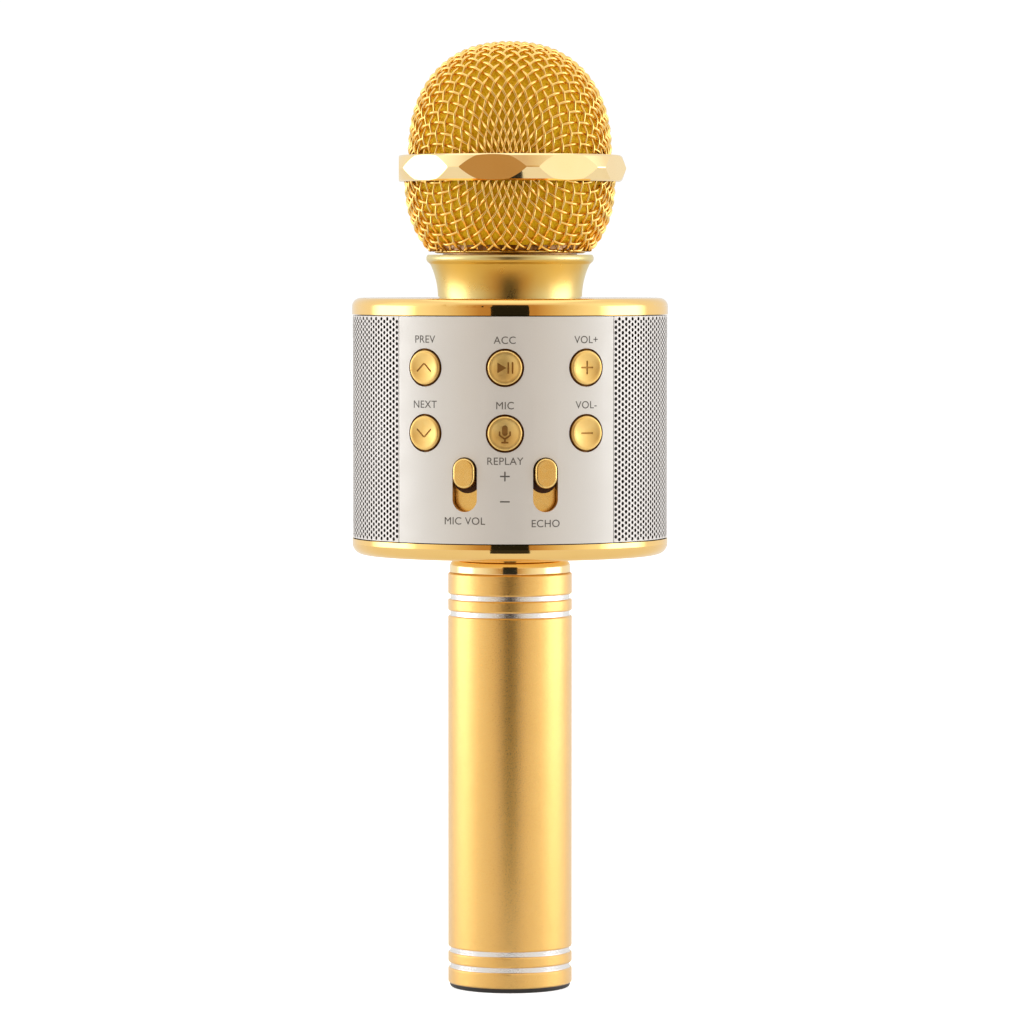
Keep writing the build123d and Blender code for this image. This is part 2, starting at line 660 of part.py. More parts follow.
# ---------------------------------------------------------------- neck and capsule
with BuildPart() as neck_collar:
    with BuildSketch(Plane.XZ):
        with BuildLine():
            Polyline(
                (NECK_BORE, CAP_HIGH),
                (NECK_FOOT_R, CAP_HIGH),
                (NECK_FOOT_R, CAP_HIGH + NECK_FOOT_T),
                (NECK_WAIST_R, CAP_HIGH + NECK_FOOT_T),
            )
            Spline(
                (NECK_WAIST_R, CAP_HIGH + NECK_FOOT_T),
                (NECK_MID_R, NECK_MID),
                (NECK_FLARE_R, NECK_HIGH - 2.4),
                tangents=((0, 1), (0.5, 1)),
            )
            Line((NECK_FLARE_R, NECK_HIGH - 2.4), (NECK_RIM_R - 0.3, NECK_HIGH - 1.8))
            ThreePointArc(
                (NECK_RIM_R - 0.3, NECK_HIGH - 1.8),
                (NECK_RIM_R, NECK_HIGH - 0.9),
                (NECK_RIM_R - 0.4, NECK_HIGH),
            )
            Polyline(
                (NECK_RIM_R - 0.4, NECK_HIGH), (NECK_BORE, NECK_HIGH), (NECK_BORE, CAP_HIGH)
            )
        make_face()
    revolve(axis=Axis.Z)
write(neck_collar, "neck_collar")

HOLDER_FOOT = 1.8
with BuildPart() as capsule_holder:
    with BuildSketch(Plane.XZ):
        with BuildLine():
            Polyline(
                (6.0, CAP_HIGH),
                (NECK_BORE - 0.2, CAP_HIGH),
                (NECK_BORE - 0.2, CAP_HIGH + HOLDER_FOOT),
                (9.0, CAP_HIGH + HOLDER_FOOT + 2.0),
                (9.0, CAPSULE_LOW - 5.0),
                (HOLDER_R, CAPSULE_LOW - 2.0),
                (HOLDER_R, CAPSULE_HIGH - 2.5),
                (CAPSULE_R + 0.1, CAPSULE_HIGH - 2.5),
                (CAPSULE_R + 0.1, CAPSULE_LOW),
                (6.0, CAPSULE_LOW),
                close=True,
            )
        make_face()
    revolve(axis=Axis.Z)
write(capsule_holder, "capsule_holder")

with BuildPart() as capsule:
    with BuildSketch(Plane.XY.offset(CAPSULE_LOW)):
        Circle(CAPSULE_R)
    extrude(amount=CAPSULE_HIGH - CAPSULE_LOW)
    fillet(capsule.edges().group_by(Axis.Z)[-1], 0.8)
    with BuildSketch(Plane.XY.offset(CAPSULE_HIGH - 0.5)):
        with PolarLocations(5.5, 8):
            Circle(0.9)
        Circle(1.2)
    extrude(amount=1, mode=Mode.SUBTRACT)
write(capsule, "capsule")

# ---------------------------------------------------------------- head
UPPER_DEPTH = HEAD_TOP - BAND_HIGH
UPPER_LEVELS = (215.0, 221.0, 227.0, 232.5, 236.7, 239.2)
LOWER_LEVELS = (202.0, 198.0, 194.0, 190.0)


def dome_outline(inset):
    """Points of the upper dome's outline, moved inwards, from its foot to its top."""
    radius = UPPER_R - inset
    depth = UPPER_DEPTH - inset
    heights = [BAND_HIGH + (level - BAND_HIGH) * depth / UPPER_DEPTH for level in UPPER_LEVELS]
    points = superellipse(radius, depth, UPPER_CURVE, BAND_HIGH, heights)
    return [(radius, BAND_HIGH)] + points + [(0, BAND_HIGH + depth)]


def bowl_outline(inset, low):
    """Points of the lower basket's outline, moved inwards, from its top down to low."""
    heights = list(LOWER_LEVELS) + [low]
    points = superellipse(LOWER_R, LOWER_DEPTH, LOWER_CURVE, BAND_LOW, heights)
    return [(LOWER_R - inset, BAND_LOW)] + [(x - inset, y) for x, y in points]


with BuildPart() as upper_basket:
    with BuildSketch(Plane.XZ):
        with BuildLine():
            Line((UPPER_R, BAND_STEP + 0.1), (UPPER_R, BAND_HIGH))
            Spline(*dome_outline(0), tangents=((0, 1), (-1, 0)))
            Line((0, HEAD_TOP), (0, HEAD_TOP - MESH_T))
            Spline(*dome_outline(MESH_T), tangents=((0, 1), (-1, 0)))
            Polyline(
                (UPPER_R - MESH_T, BAND_HIGH),
                (UPPER_R - MESH_T, BAND_STEP + 0.1),
                (UPPER_R, BAND_STEP + 0.1),
            )
        make_face()
    revolve(axis=Axis.Z)
write(upper_basket, "upper_basket")

with BuildPart() as lower_basket:
    with BuildSketch(Plane.XZ):
        with BuildLine():
            outer = bowl_outline(0, HEAD_LOW)
            inner = bowl_outline(MESH_T, HEAD_LOW)
            Line((LOWER_R, BAND_STEP - 0.1), (LOWER_R, BAND_LOW))
            Spline(*outer)
            Line(outer[-1], inner[-1])
            Spline(*inner)
            Polyline(
                inner[0], (LOWER_R - MESH_T, BAND_STEP - 0.1), (LOWER_R, BAND_STEP - 0.1)
            )
        make_face()
    revolve(axis=Axis.Z)
write(lower_basket, "lower_basket")

BAND_MID = (BAND_LOW + BAND_HIGH) / 2
with BuildPart() as band_ring:
    with BuildSketch(Plane.XZ):
        with BuildLine():
            Polyline(
                (BAND_RIM_R, BAND_LOW),
                (BAND_EDGE_R, BAND_LOW + BAND_BEVEL),
                (BAND_TIP_R, BAND_MID),
                (BAND_EDGE_R, BAND_HIGH - BAND_BEVEL),
                (BAND_RIM_R, BAND_HIGH),
                (UPPER_R + 0.1, BAND_HIGH),
                (UPPER_R + 0.1, BAND_STEP),
                (LOWER_R + 0.1, BAND_STEP),
                (LOWER_R + 0.1, BAND_LOW),
                close=True,
            )
        profile = make_face()
        fillet(profile.vertices().sort_by(Axis.X)[-1], BAND_TIP_ROUND)
    revolve(axis=Axis.Z)
    for facet in range(BAND_FACETS):
        turn = BAND_TURN + facet * 360 / BAND_FACETS
        with BuildSketch(face_plane(turn, BAND_FLAT_R, BAND_MID)):
            Rectangle(30, 2 * (BAND_HIGH - BAND_LOW))
        extrude(amount=5, mode=Mode.SUBTRACT)
write(band_ring, "band_ring")

LINER_GAP = MESH_T + 0.2
LINER_INNER = LINER_GAP + LINER_T
with BuildPart() as foam_liner:
    with BuildSketch(Plane.XZ):
        with BuildLine():
            outer = bowl_outline(LINER_GAP, LINER_LOW)
            inner = bowl_outline(LINER_INNER, LINER_LOW)
            Polyline(
                (UPPER_R - LINER_GAP, BAND_HIGH), (UPPER_R - LINER_GAP, BAND_STEP - 0.3), outer[0]
            )
            Spline(*outer)
            Line(outer[-1], inner[-1])
            Spline(*inner)
            Line(inner[0], (UPPER_R - LINER_INNER, BAND_HIGH))
            Spline(*dome_outline(LINER_INNER), tangents=((0, 1), (-1, 0)))
            Line((0, HEAD_TOP - LINER_INNER), (0, HEAD_TOP - LINER_GAP))
            Spline(*dome_outline(LINER_GAP), tangents=((0, 1), (-1, 0)))
        make_face()
    revolve(axis=Axis.Z)
write(foam_liner, "foam_liner")

with BuildPart() as head_ring:
    with BuildSketch(Plane.XZ):
        with BuildLine():
            Polyline(
                (HEAD_RING_BORE, HEAD_RING_LOW),
                (HEAD_RING_R - 0.6, HEAD_RING_LOW),
                (HEAD_RING_R, HEAD_RING_LOW + 0.6),
                (HEAD_RING_R, HEAD_LOW),
                (HEAD_SEAT_R, HEAD_LOW),
                (HEAD_SEAT_R, LINER_LOW),
                (HEAD_RING_BORE, LINER_LOW),
                close=True,
            )
        make_face()
    revolve(axis=Axis.Z)
write(head_ring, "head_ring")

# ---------------------------------------------------------------- handle
with BuildPart() as handle_tube:
    with BuildSketch(Plane.XY.offset(HANDLE_LOW)):
        Circle(HANDLE_R)
        Circle(HANDLE_BORE, mode=Mode.SUBTRACT)
    extrude(amount=HANDLE_HIGH - HANDLE_LOW)
    rims = handle_tube.edges().filter_by(GeomType.CIRCLE).sort_by(SortBy.RADIUS)[-2:]
    chamfer(rims, 0.3)
    for height in GROOVES:
        with BuildSketch(Plane.XY.offset(height - GROOVE_W / 2)):
            Circle(HANDLE_R + 1)
            Circle(HANDLE_R - GROOVE_DEPTH, mode=Mode.SUBTRACT)
        extrude(amount=GROOVE_W, mode=Mode.SUBTRACT)
    between = handle_tube.edges().filter_by_position(Axis.Z, HANDLE_LOW + 1, HANDLE_HIGH - 1)
    circles = between.filter_by(GeomType.CIRCLE)
    fillet(circles.group_by(SortBy.RADIUS)[-1], GROOVE_ROUND)
write(handle_tube, "handle_tube")

with BuildPart() as handle_collar:
    with BuildSketch(Plane.XZ):
        with BuildLine():
            Polyline(
                (INSERT_NECK_R + SEAM, HANDLE_HIGH),
                (COLLAR_R, HANDLE_HIGH),
                (COLLAR_R, COLLAR_CREST),
                (COLLAR_NECK_R, COLLAR_CREST + 0.4),
                (COLLAR_NECK_R, CAP_LOW),
                (INSERT_NECK_R + SEAM, CAP_LOW),
                close=True,
            )
        make_face()
    revolve(axis=Axis.Z)
    widest = handle_collar.edges().filter_by(GeomType.CIRCLE).sort_by(SortBy.RADIUS)[-2:]
    fillet(widest.sort_by(Axis.Z)[-1], COLLAR_ROUND)
    fillet(handle_collar.edges().group_by(Axis.Z)[0].sort_by(SortBy.RADIUS)[-1], 0.3)
write(handle_collar, "handle_collar")

INSERT_LOW = 92.0
WIRE_HOLE_R = 6.0
with BuildPart() as handle_insert:
    with BuildSketch(Plane.XZ):
        with BuildLine():
            Polyline(
                (WIRE_HOLE_R, INSERT_LOW),
                (HANDLE_BORE - 0.1, INSERT_LOW),
                (HANDLE_BORE - 0.1, HANDLE_HIGH),
                (INSERT_NECK_R, HANDLE_HIGH),
                (INSERT_NECK_R, DRUM_LOW + PLATE_T),
                (WIRE_HOLE_R, DRUM_LOW + PLATE_T),
                close=True,
            )
        make_face()
    revolve(axis=Axis.Z)
write(handle_insert, "handle_insert")

with BuildPart() as battery_cell:
    with BuildSketch(Plane.XY.offset(CELL_LOW)):
        Circle(CELL_R)
    extrude(amount=CELL_LENGTH - TERMINAL_H)
    fillet(battery_cell.edges(), 0.6)
    with BuildSketch(Plane.XY.offset(CELL_LOW + CELL_LENGTH - TERMINAL_H)):
        Circle(TERMINAL_R)
    extrude(amount=TERMINAL_H)
write(battery_cell, "battery_cell")

CRADLE_LOW = CELL_LOW - 3.0
CRADLE_HIGH = CELL_LOW + CELL_LENGTH + 3.0
with BuildPart() as battery_cradle:
    with BuildSketch(Plane.XY.offset(CRADLE_LOW)):
        Circle(HANDLE_BORE - 0.2)
        with Locations((0, -HANDLE_R)):
            Rectangle(2 * HANDLE_R, 2 * HANDLE_R, mode=Mode.SUBTRACT)
    extrude(amount=CRADLE_HIGH - CRADLE_LOW)
    with BuildSketch(Plane.XY.offset(CELL_LOW - 0.2)):
        Circle(CELL_R + 0.2)
    extrude(amount=CELL_LENGTH + 0.4, mode=Mode.SUBTRACT)
write(battery_cradle, "battery_cradle")

with BuildPart() as end_cap:
    with BuildSketch(Plane.XY):
        Circle(HANDLE_R - 0.45)
    extrude(amount=HANDLE_LOW)
    fillet(end_cap.edges().group_by(Axis.Z)[0], 0.9)
    with BuildSketch(Plane.XY.offset(HANDLE_LOW)):
        Circle(HANDLE_BORE - 0.1)
        Circle(HANDLE_BORE - 2.0, mode=Mode.SUBTRACT)
    extrude(amount=8.0)
write(end_cap, "end_cap")
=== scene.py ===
"""Karaoke microphone: woven head, perforated drum grilles, printed panel and materials.

Metres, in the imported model's frame. The control panel looks along -Y.
"""
import json
from math import cos, pi, radians, sin, tau

import bpy
import numpy as np
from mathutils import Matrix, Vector


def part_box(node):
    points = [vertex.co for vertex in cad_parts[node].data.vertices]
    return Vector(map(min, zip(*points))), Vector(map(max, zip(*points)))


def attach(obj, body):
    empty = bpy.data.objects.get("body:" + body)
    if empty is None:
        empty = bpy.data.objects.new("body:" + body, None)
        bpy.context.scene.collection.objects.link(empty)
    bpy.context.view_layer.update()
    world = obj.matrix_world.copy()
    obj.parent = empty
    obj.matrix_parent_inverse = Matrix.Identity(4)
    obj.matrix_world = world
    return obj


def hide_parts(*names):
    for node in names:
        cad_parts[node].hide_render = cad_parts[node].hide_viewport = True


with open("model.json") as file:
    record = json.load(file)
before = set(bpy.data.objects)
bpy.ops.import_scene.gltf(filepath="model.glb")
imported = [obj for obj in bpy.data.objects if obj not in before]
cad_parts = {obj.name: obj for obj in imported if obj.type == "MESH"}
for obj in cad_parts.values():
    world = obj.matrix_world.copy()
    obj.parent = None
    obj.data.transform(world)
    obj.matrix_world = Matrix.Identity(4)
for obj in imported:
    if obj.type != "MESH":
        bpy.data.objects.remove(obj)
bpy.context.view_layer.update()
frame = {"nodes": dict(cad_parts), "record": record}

MM = 0.001
NODES = frame["nodes"]

# ---------------------------------------------------------------- places read from the frame
HANDLE_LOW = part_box("handle_tube")[0].z
DRUM_LOW, DRUM_HIGH = (corner.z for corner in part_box("left_grille"))
DRUM_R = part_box("top_cap")[1].x
BUTTON_FACE = -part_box("play_pause_button")[0].y
NECK_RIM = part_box("neck_collar")[1].z
HEAD_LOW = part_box("lower_basket")[0].z
HEAD_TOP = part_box("upper_basket")[1].z
BAND_LOW, BAND_HIGH = (corner.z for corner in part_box("band_ring"))
UPPER_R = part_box("upper_basket")[1].x
LOWER_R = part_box("lower_basket")[1].x

# ---------------------------------------------------------------- sizes shared with part.py
LOWER_DEPTH = 26.0 * MM
UPPER_CURVE = 2.3         # exponents of the baskets' two superellipses
LOWER_CURVE = 2.2
PANEL_HALF = 41.7         # degrees from the front to the edge of the panel
GROOVES = (4.6, 8.6, 94.1, 98.3)   # middles of the turned grooves, millimetres above the tube's foot
BUTTON_TURNS = {"previous_button": -120, "next_button": -120, "play_pause_button": -90,
                "microphone_button": -90, "volume_up_button": -60, "volume_down_button": -60}

# ---------------------------------------------------------------- sizes of the surface detail
GROOVE_HALF = 0.62 * MM   # half the height of the silver in a groove
THREAD_PITCH = 0.8 * MM
SIGN_DEPTH = 0.34 * MM    # from a button's rim to just above the floor of its engraved sign; deeper, the gold is painted darker as shade
DISH_SHADE = 2.8          # strength of the shading that deepens a button's dish
GOLD_REFLECTION_DEPTH = 0.2 * MM    # below the drum's face, where the panel's paint gives way to a painted gold reflection on the walls of its cut-outs
HOLE_SHADE_DEPTH = 0.23 * MM    # below the drum's face, where the grille's coat gives way to painted shade on its hole walls and back
NOISE_SPAN = (0.3, 0.7)   # most values of a noise lie between these


# ---------------------------------------------------------------- materials
def feed(tree, socket, source):
    """Links a socket to its source or, where the source is a plain value, sets it."""
    if isinstance(source, bpy.types.NodeSocket):
        tree.links.new(source, socket)
    else:
        socket.default_value = source


class Paint:
    """A node-based material put together around one Principled shader."""

    def __init__(self, name, colour, roughness, metallic=0.0, **constants):
        self.material = bpy.data.materials.new(name)
        self.material.use_nodes = True
        self.tree = self.material.node_tree
        self.shader = self.tree.nodes["Principled BSDF"]
        self.set("Base Color", (*colour, 1.0))
        self.set("Roughness", roughness)
        self.set("Metallic", metallic)
        for socket, value in constants.items():
            self.set(socket.replace("_", " "), value)
        self.place = self.add("ShaderNodeTexCoord").outputs["Object"]
        self.height = None

    def set(self, socket, value):
        self.shader.inputs[socket].default_value = value

    def add(self, kind, links=(), **settings):
        node = self.tree.nodes.new(kind)
        for key, value in settings.items():
            setattr(node, key, value)
        for socket, source in dict(links).items():
            feed(self.tree, node.inputs[socket], source)
        return node

    def noise(self, size, detail=2.0, stretch=None):
        """Noise whose blobs are about size millimetres across."""
        place = self.place
        if stretch:
            place = self.add("ShaderNodeMapping", {"Vector": place, "Scale": stretch}).outputs[0]
        links = {"Vector": place, "Scale": 1 / (size * MM), "Detail": detail}
        return self.add("ShaderNodeTexNoise", links).outputs["Fac"]

    def cells(self, size):
        """Distance to the middle of the nearest cell, with cells of about size millimetres."""
        links = {"Vector": self.place, "Scale": 1 / (size * MM)}
        return self.add("ShaderNodeTexVoronoi", links, feature="F1").outputs["Distance"]

    def span(self, value, low, high, start=0.0, end=1.0):
        """Maps value from start..end onto low..high."""
        links = {0: value, 1: start, 2: end, 3: low, 4: high}
        return self.add("ShaderNodeMapRange", links).outputs[0]

    def math(self, operation, first, second=0.0):
        return self.add("ShaderNodeMath", {0: first, 1: second}, operation=operation).outputs[0]

    def mix(self, mask, first, second):
        """Colour first where mask is 0 and second where it is 1."""
        node = self.add("ShaderNodeMix", data_type="RGBA")
        for socket, value in ((0, mask), (6, first), (7, second)):
            feed(self.tree, node.inputs[socket], (*value, 1.0) if isinstance(value, tuple) else value)
        return node.outputs[2]

    def colour(self, value):
        self.tree.links.new(value, self.shader.inputs["Base Color"])

    def rough(self, value):
        self.tree.links.new(value, self.shader.inputs["Roughness"])

    def uneven_colour(self, size, first, second, detail=2.0):
        """Colour that wanders between two, in blobs of about size millimetres."""
        self.colour(self.mix(self.noise(size, detail), first, second))

    def uneven_rough(self, size, low, high, detail=3.0):
        """Roughness that wanders between low and high, in blobs of about size millimetres."""
        self.rough(self.span(self.noise(size, detail), low, high, *NOISE_SPAN))

    def current(self, socket):
        """What feeds a socket of the shader now."""
        return self.shader.inputs[socket].links[0].from_socket

    def metal(self, value):
        self.tree.links.new(value, self.shader.inputs["Metallic"])

    def bump(self, value, depth, strength=1.0):
        """Adds relief of about depth millimetres, on top of any added before."""
        links = {"Height": value, "Distance": depth * MM, "Strength": strength}
        if self.height:
            links["Normal"] = self.height
        self.height = self.add("ShaderNodeBump", links).outputs[0]
        self.tree.links.new(self.height, self.shader.inputs["Normal"])

    def dish(self):
        """Height of a shallow bowl that fills a round piece's own box, 0 in its middle."""
        place = self.add("ShaderNodeTexCoord").outputs["Generated"]
        across, _, up = self.add("ShaderNodeSeparateXYZ", {0: place}).outputs
        sides = [self.math("SUBTRACT", side, 0.5) for side in (across, up)]
        squares = [self.math("MULTIPLY", side, side) for side in sides]
        return self.math("ADD", *squares)

    def behind(self, turn, distance):
        """1 nearer to the axis than a flat face at distance that looks towards turn."""
        across, forward, _ = self.add("ShaderNodeSeparateXYZ", {0: self.place}).outputs
        reach = self.math("ADD", self.math("MULTIPLY", across, cos(radians(turn))),
                          self.math("MULTIPLY", forward, sin(radians(turn))))
        return self.math("LESS_THAN", reach, distance)

    def inside_radius(self, radius):
        """1 nearer to the axis than radius, in metres, and 0 further out."""
        across, forward, _ = self.add("ShaderNodeSeparateXYZ", {0: self.place}).outputs
        square = self.math("ADD", self.math("MULTIPLY", across, across),
                           self.math("MULTIPLY", forward, forward))
        return self.math("LESS_THAN", self.math("SQRT", square), radius)

    def z_mask(self, bands):
        """1 inside any of the (low, high) ranges of z, given in metres, and 0 elsewhere."""
        z = self.add("ShaderNodeSeparateXYZ", {0: self.place}).outputs["Z"]
        total = None
        for low, high in bands:
            above = self.math("GREATER_THAN", z, low)
            inside = self.math("MULTIPLY", above, self.math("LESS_THAN", z, high))
            total = inside if total is None else self.math("ADD", total, inside)
        return total


GOLD = (0.94, 0.58, 0.17)
PALE_GOLD = (1.0, 0.77, 0.40)
SILVER = (0.86, 0.85, 0.84)


def gold_chrome():
    """Mirror-bright gold plating on moulded plastic, with the mould's faint ripple."""
    paint = Paint("gold_chrome", GOLD, 0.06, 1.0)
    paint.uneven_rough(9.0, 0.03, 0.09)
    paint.uneven_colour(14.0, (0.93, 0.60, 0.19), (0.98, 0.66, 0.25))
    paint.bump(paint.noise(2.5), 0.003)
    paint.bump(paint.noise(0.25), 0.0006)
    return paint.material


def gold_band():
    """Polished pale gold plating on metal."""
    paint = Paint("gold_band", PALE_GOLD, 0.08, 1.0)
    paint.uneven_rough(6.0, 0.05, 0.12)
    paint.uneven_colour(10.0, (0.98, 0.72, 0.33), (1.0, 0.79, 0.43))
    paint.bump(paint.noise(0.3), 0.0012)
    return paint.material


def small_gold(name, low_roughness, high_roughness):
    """Gold plating on small moulded controls, with a faint grain."""
    paint = Paint(name, GOLD, low_roughness, 1.0)
    paint.uneven_rough(1.2, low_roughness, high_roughness)
    paint.uneven_colour(2.0, (0.94, 0.61, 0.18), (0.99, 0.71, 0.28))
    paint.bump(paint.noise(0.35, 3.0), 0.004)
    return paint


def button_gold(turn):
    """A dished button facing turn, in degrees, with painted shade darkening its engraved sign and all of
    it that lies as deep.
    """
    paint = small_gold("gold_button" + str(turn), 0.38, 0.50)
    gold = paint.current("Base Color")
    # painted shade: the sign's floor, and anything deeper, is dark brown gold
    engraved = paint.behind(turn, BUTTON_FACE - SIGN_DEPTH)
    paint.colour(paint.mix(engraved, gold, (0.50, 0.26, 0.075)))
    paint.bump(paint.dish(), DISH_SHADE)
    return paint.material


def satin_gold(name, roughness, grain):
    """Aluminium, bead-blasted to a fine grain, under its clear hard oxide."""
    paint = Paint(name, GOLD, roughness, 1.0, Coat_Weight=0.7, Coat_Roughness=0.24, Coat_IOR=1.7)
    speck = paint.noise(grain, 4.0)
    paint.rough(paint.span(speck, roughness - 0.05, roughness + 0.06, *NOISE_SPAN))
    tone = paint.mix(paint.noise(11.0, 3.0), (0.90, 0.53, 0.13), (0.95, 0.58, 0.16))
    paint.colour(paint.mix(paint.span(speck, 0.0, 0.35, 0.45, 0.75), tone, (1.0, 0.60, 0.17)))
    paint.bump(speck, 0.035)
    paint.bump(paint.cells(grain * 1.7), 0.02)
    return paint


def handle_gold():
    """The blasted tube, with bright silver where its grooves are turned through the anodising."""
    paint = satin_gold("handle_gold", 0.29, 0.16)
    grooves = [HANDLE_LOW + height * MM for height in GROOVES]
    mask = paint.z_mask([(z - GROOVE_HALF, z + GROOVE_HALF) for z in grooves])
    shade = paint.current("Base Color")
    rough = paint.current("Roughness")
    paint.colour(paint.mix(mask, shade, SILVER))
    cut = paint.noise(0.06, 1.0, stretch=(0.02, 0.02, 1.0))
    turned = paint.span(cut, 0.07, 0.14)
    paint.rough(paint.math("ADD", paint.math("MULTIPLY", mask, turned),
                           paint.math("MULTIPLY", paint.math("SUBTRACT", 1.0, mask), rough)))
    return paint.material


def thread_gold():
    """Satin gold with a fine screw thread cut round the ring below the basket, where it is lower than the
    neck's rim; higher up the ring is dark brown, painted shade.
    """
    paint = satin_gold("thread_gold", 0.3, 0.2)
    across, forward, up = paint.add("ShaderNodeSeparateXYZ", {0: paint.place}).outputs
    turn = paint.math("ARCTAN2", forward, across)
    climb = paint.math("MULTIPLY", up, tau / THREAD_PITCH)
    wave = paint.math("SINE", paint.math("ADD", climb, turn))
    cut = paint.math("LESS_THAN", up, NECK_RIM)
    shade = paint.current("Base Color")
    # painted shade: above the neck's rim the ring is coloured dark brown
    paint.colour(paint.mix(cut, (0.30, 0.14, 0.03), shade))
    paint.bump(paint.math("MULTIPLY", wave, cut), 0.2)
    return paint.material


def neck_gold():
    """Pale gold plating, polished smooth round the neck."""
    paint = Paint("neck_gold", PALE_GOLD, 0.3, 1.0)
    paint.uneven_rough(4.0, 0.27, 0.34)
    paint.uneven_colour(8.0, (0.72, 0.60, 0.26), (0.77, 0.65, 0.31))
    paint.bump(paint.noise(0.5, 3.0), 0.0015)
    return paint.material


def wire_gold():
    """Drawn wire with bright gold plating, its tone wandering in blobs of about 3 mm."""
    paint = Paint("wire_gold", GOLD, 0.2, 1.0)
    paint.uneven_rough(1.1, 0.10, 0.20)
    paint.uneven_colour(3.0, (0.93, 0.58, 0.14), (0.99, 0.70, 0.25))
    paint.bump(paint.noise(0.12), 0.004)
    return paint.material


def foam_yellow():
    """Open-cell foam, deep golden yellow, with painted shade in its pores."""
    paint = Paint("foam_yellow", (0.90, 0.52, 0.012), 0.9, Specular_IOR_Level=0.3)
    pores = paint.cells(0.55)
    # painted shade: darker in the pits of the pores, lighter on the cell walls
    paint.colour(paint.mix(paint.span(pores, 0.0, 1.0, 0.15, 0.6), (0.90, 0.58, 0.006), (1.0, 0.71, 0.02)))
    paint.rough(paint.span(pores, 0.75, 0.95))
    paint.bump(pores, 0.25)
    paint.bump(paint.noise(0.2, 3.0), 0.06)
    return paint.material


def panel_silver():
    """Satin paint, warm silver, with fine metal flake; the walls of the cut-outs carry a painted
    reflection of the gold controls, coloured gold metal.
    """
    paint = Paint("panel_silver", (0.76, 0.715, 0.65), 0.42, 0.2, Coat_Weight=0.25, Coat_Roughness=0.3)
    flake = paint.noise(0.09, 2.0)
    tone = paint.mix(paint.noise(16.0), (0.715, 0.705, 0.685), (0.755, 0.745, 0.725))
    tone = paint.mix(paint.span(flake, 0.0, 0.5, 0.55, 0.8), tone, (0.86, 0.85, 0.83))
    # painted reflection: the walls of the cut-outs are coloured gold and made metal
    cut = paint.inside_radius(DRUM_R - GOLD_REFLECTION_DEPTH)
    paint.colour(paint.mix(cut, tone, GOLD))
    paint.metal(paint.span(cut, 0.2, 1.0))
    paint.uneven_rough(5.0, 0.38, 0.48)
    paint.bump(paint.noise(0.8, 2.0), 0.004)
    return paint.material


def grille_silver():
    """Punched steel sheet with a silver-white powder coat on its face; its hole walls and back are
    near-black, painted shade.
    """
    paint = Paint("grille_silver", (0.72, 0.70, 0.69), 0.42, 0.25)
    coat = paint.mix(paint.noise(7.0, 3.0), (0.69, 0.67, 0.66), (0.76, 0.74, 0.73))
    # painted shade: everything below the sheet's face is coloured near-black
    paint.colour(paint.mix(paint.inside_radius(DRUM_R - HOLE_SHADE_DEPTH), coat, (0.06, 0.048, 0.042)))
    paint.uneven_rough(0.5, 0.36, 0.5)
    paint.bump(paint.noise(0.15, 2.0), 0.006)
    return paint.material


def black_plastic():
    """Moulded black plastic with a fine spark-eroded grain."""
    paint = Paint("black_plastic", (0.018, 0.018, 0.019), 0.5)
    paint.uneven_colour(3.0, (0.014, 0.014, 0.015), (0.026, 0.026, 0.027), 3.0)
    paint.uneven_rough(0.5, 0.42, 0.6)
    paint.bump(paint.cells(0.22), 0.02)
    return paint.material


def dust_felt():
    """Painted shadow under the slider knobs: dark brown, matted and fuzzy like felt."""
    paint = Paint("dust_felt", (0.05, 0.025, 0.010), 0.95, Sheen_Weight=0.2, Sheen_Roughness=0.5)
    paint.uneven_colour(0.25, (0.022, 0.007, 0.002), (0.08, 0.028, 0.008), 4.0)
    paint.bump(paint.noise(0.12, 4.0), 0.04)
    return paint.material


def black_rubber():
    paint = Paint("black_rubber", (0.02, 0.02, 0.02), 0.75, Specular_IOR_Level=0.35)
    paint.uneven_colour(2.0, (0.014, 0.014, 0.014), (0.032, 0.031, 0.03), 4.0)
    paint.uneven_rough(0.8, 0.65, 0.85)
    paint.bump(paint.noise(0.3, 4.0), 0.03)
    return paint.material


def plated_steel():
    """Nickel plating with the light scratches of stamped sheet."""
    paint = Paint("plated_steel", (0.66, 0.65, 0.63), 0.3, 1.0)
    scratch = paint.noise(0.25, 3.0, stretch=(1.0, 1.0, 0.08))
    paint.uneven_colour(2.5, (0.58, 0.57, 0.55), (0.72, 0.71, 0.69), 3.0)
    paint.rough(paint.span(scratch, 0.22, 0.4, *NOISE_SPAN))
    paint.bump(scratch, 0.004)
    return paint.material


def board_green():
    """Circuit board: green mask over copper tracks, which show as a raised lighter pattern."""
    paint = Paint("board_green", (0.01, 0.10, 0.035), 0.35, Coat_Weight=0.4, Coat_Roughness=0.15)
    brick = paint.add("ShaderNodeTexBrick", {"Vector": paint.place, "Scale": 420.0, "Mortar Size": 0.03})
    track = brick.outputs["Fac"]
    base = paint.mix(paint.noise(1.5, 3.0), (0.006, 0.07, 0.025), (0.012, 0.10, 0.036))
    paint.colour(paint.mix(track, base, (0.03, 0.20, 0.07)))
    paint.uneven_rough(0.8, 0.28, 0.42, 2.0)
    paint.bump(track, 0.03)
    return paint.material


def chip_black():
    paint = Paint("chip_black", (0.02, 0.02, 0.022), 0.55)
    paint.uneven_colour(0.6, (0.014, 0.014, 0.016), (0.034, 0.034, 0.036), 3.0)
    paint.uneven_rough(0.3, 0.45, 0.65)
    paint.bump(paint.noise(0.12, 3.0), 0.01)
    return paint.material


def dark_magnet():
    paint = Paint("dark_magnet", (0.10, 0.10, 0.105), 0.5, 0.7)
    paint.uneven_colour(1.2, (0.06, 0.06, 0.065), (0.16, 0.16, 0.165), 4.0)
    paint.uneven_rough(0.7, 0.4, 0.65)
    paint.bump(paint.noise(0.25, 3.0), 0.015)
    return paint.material


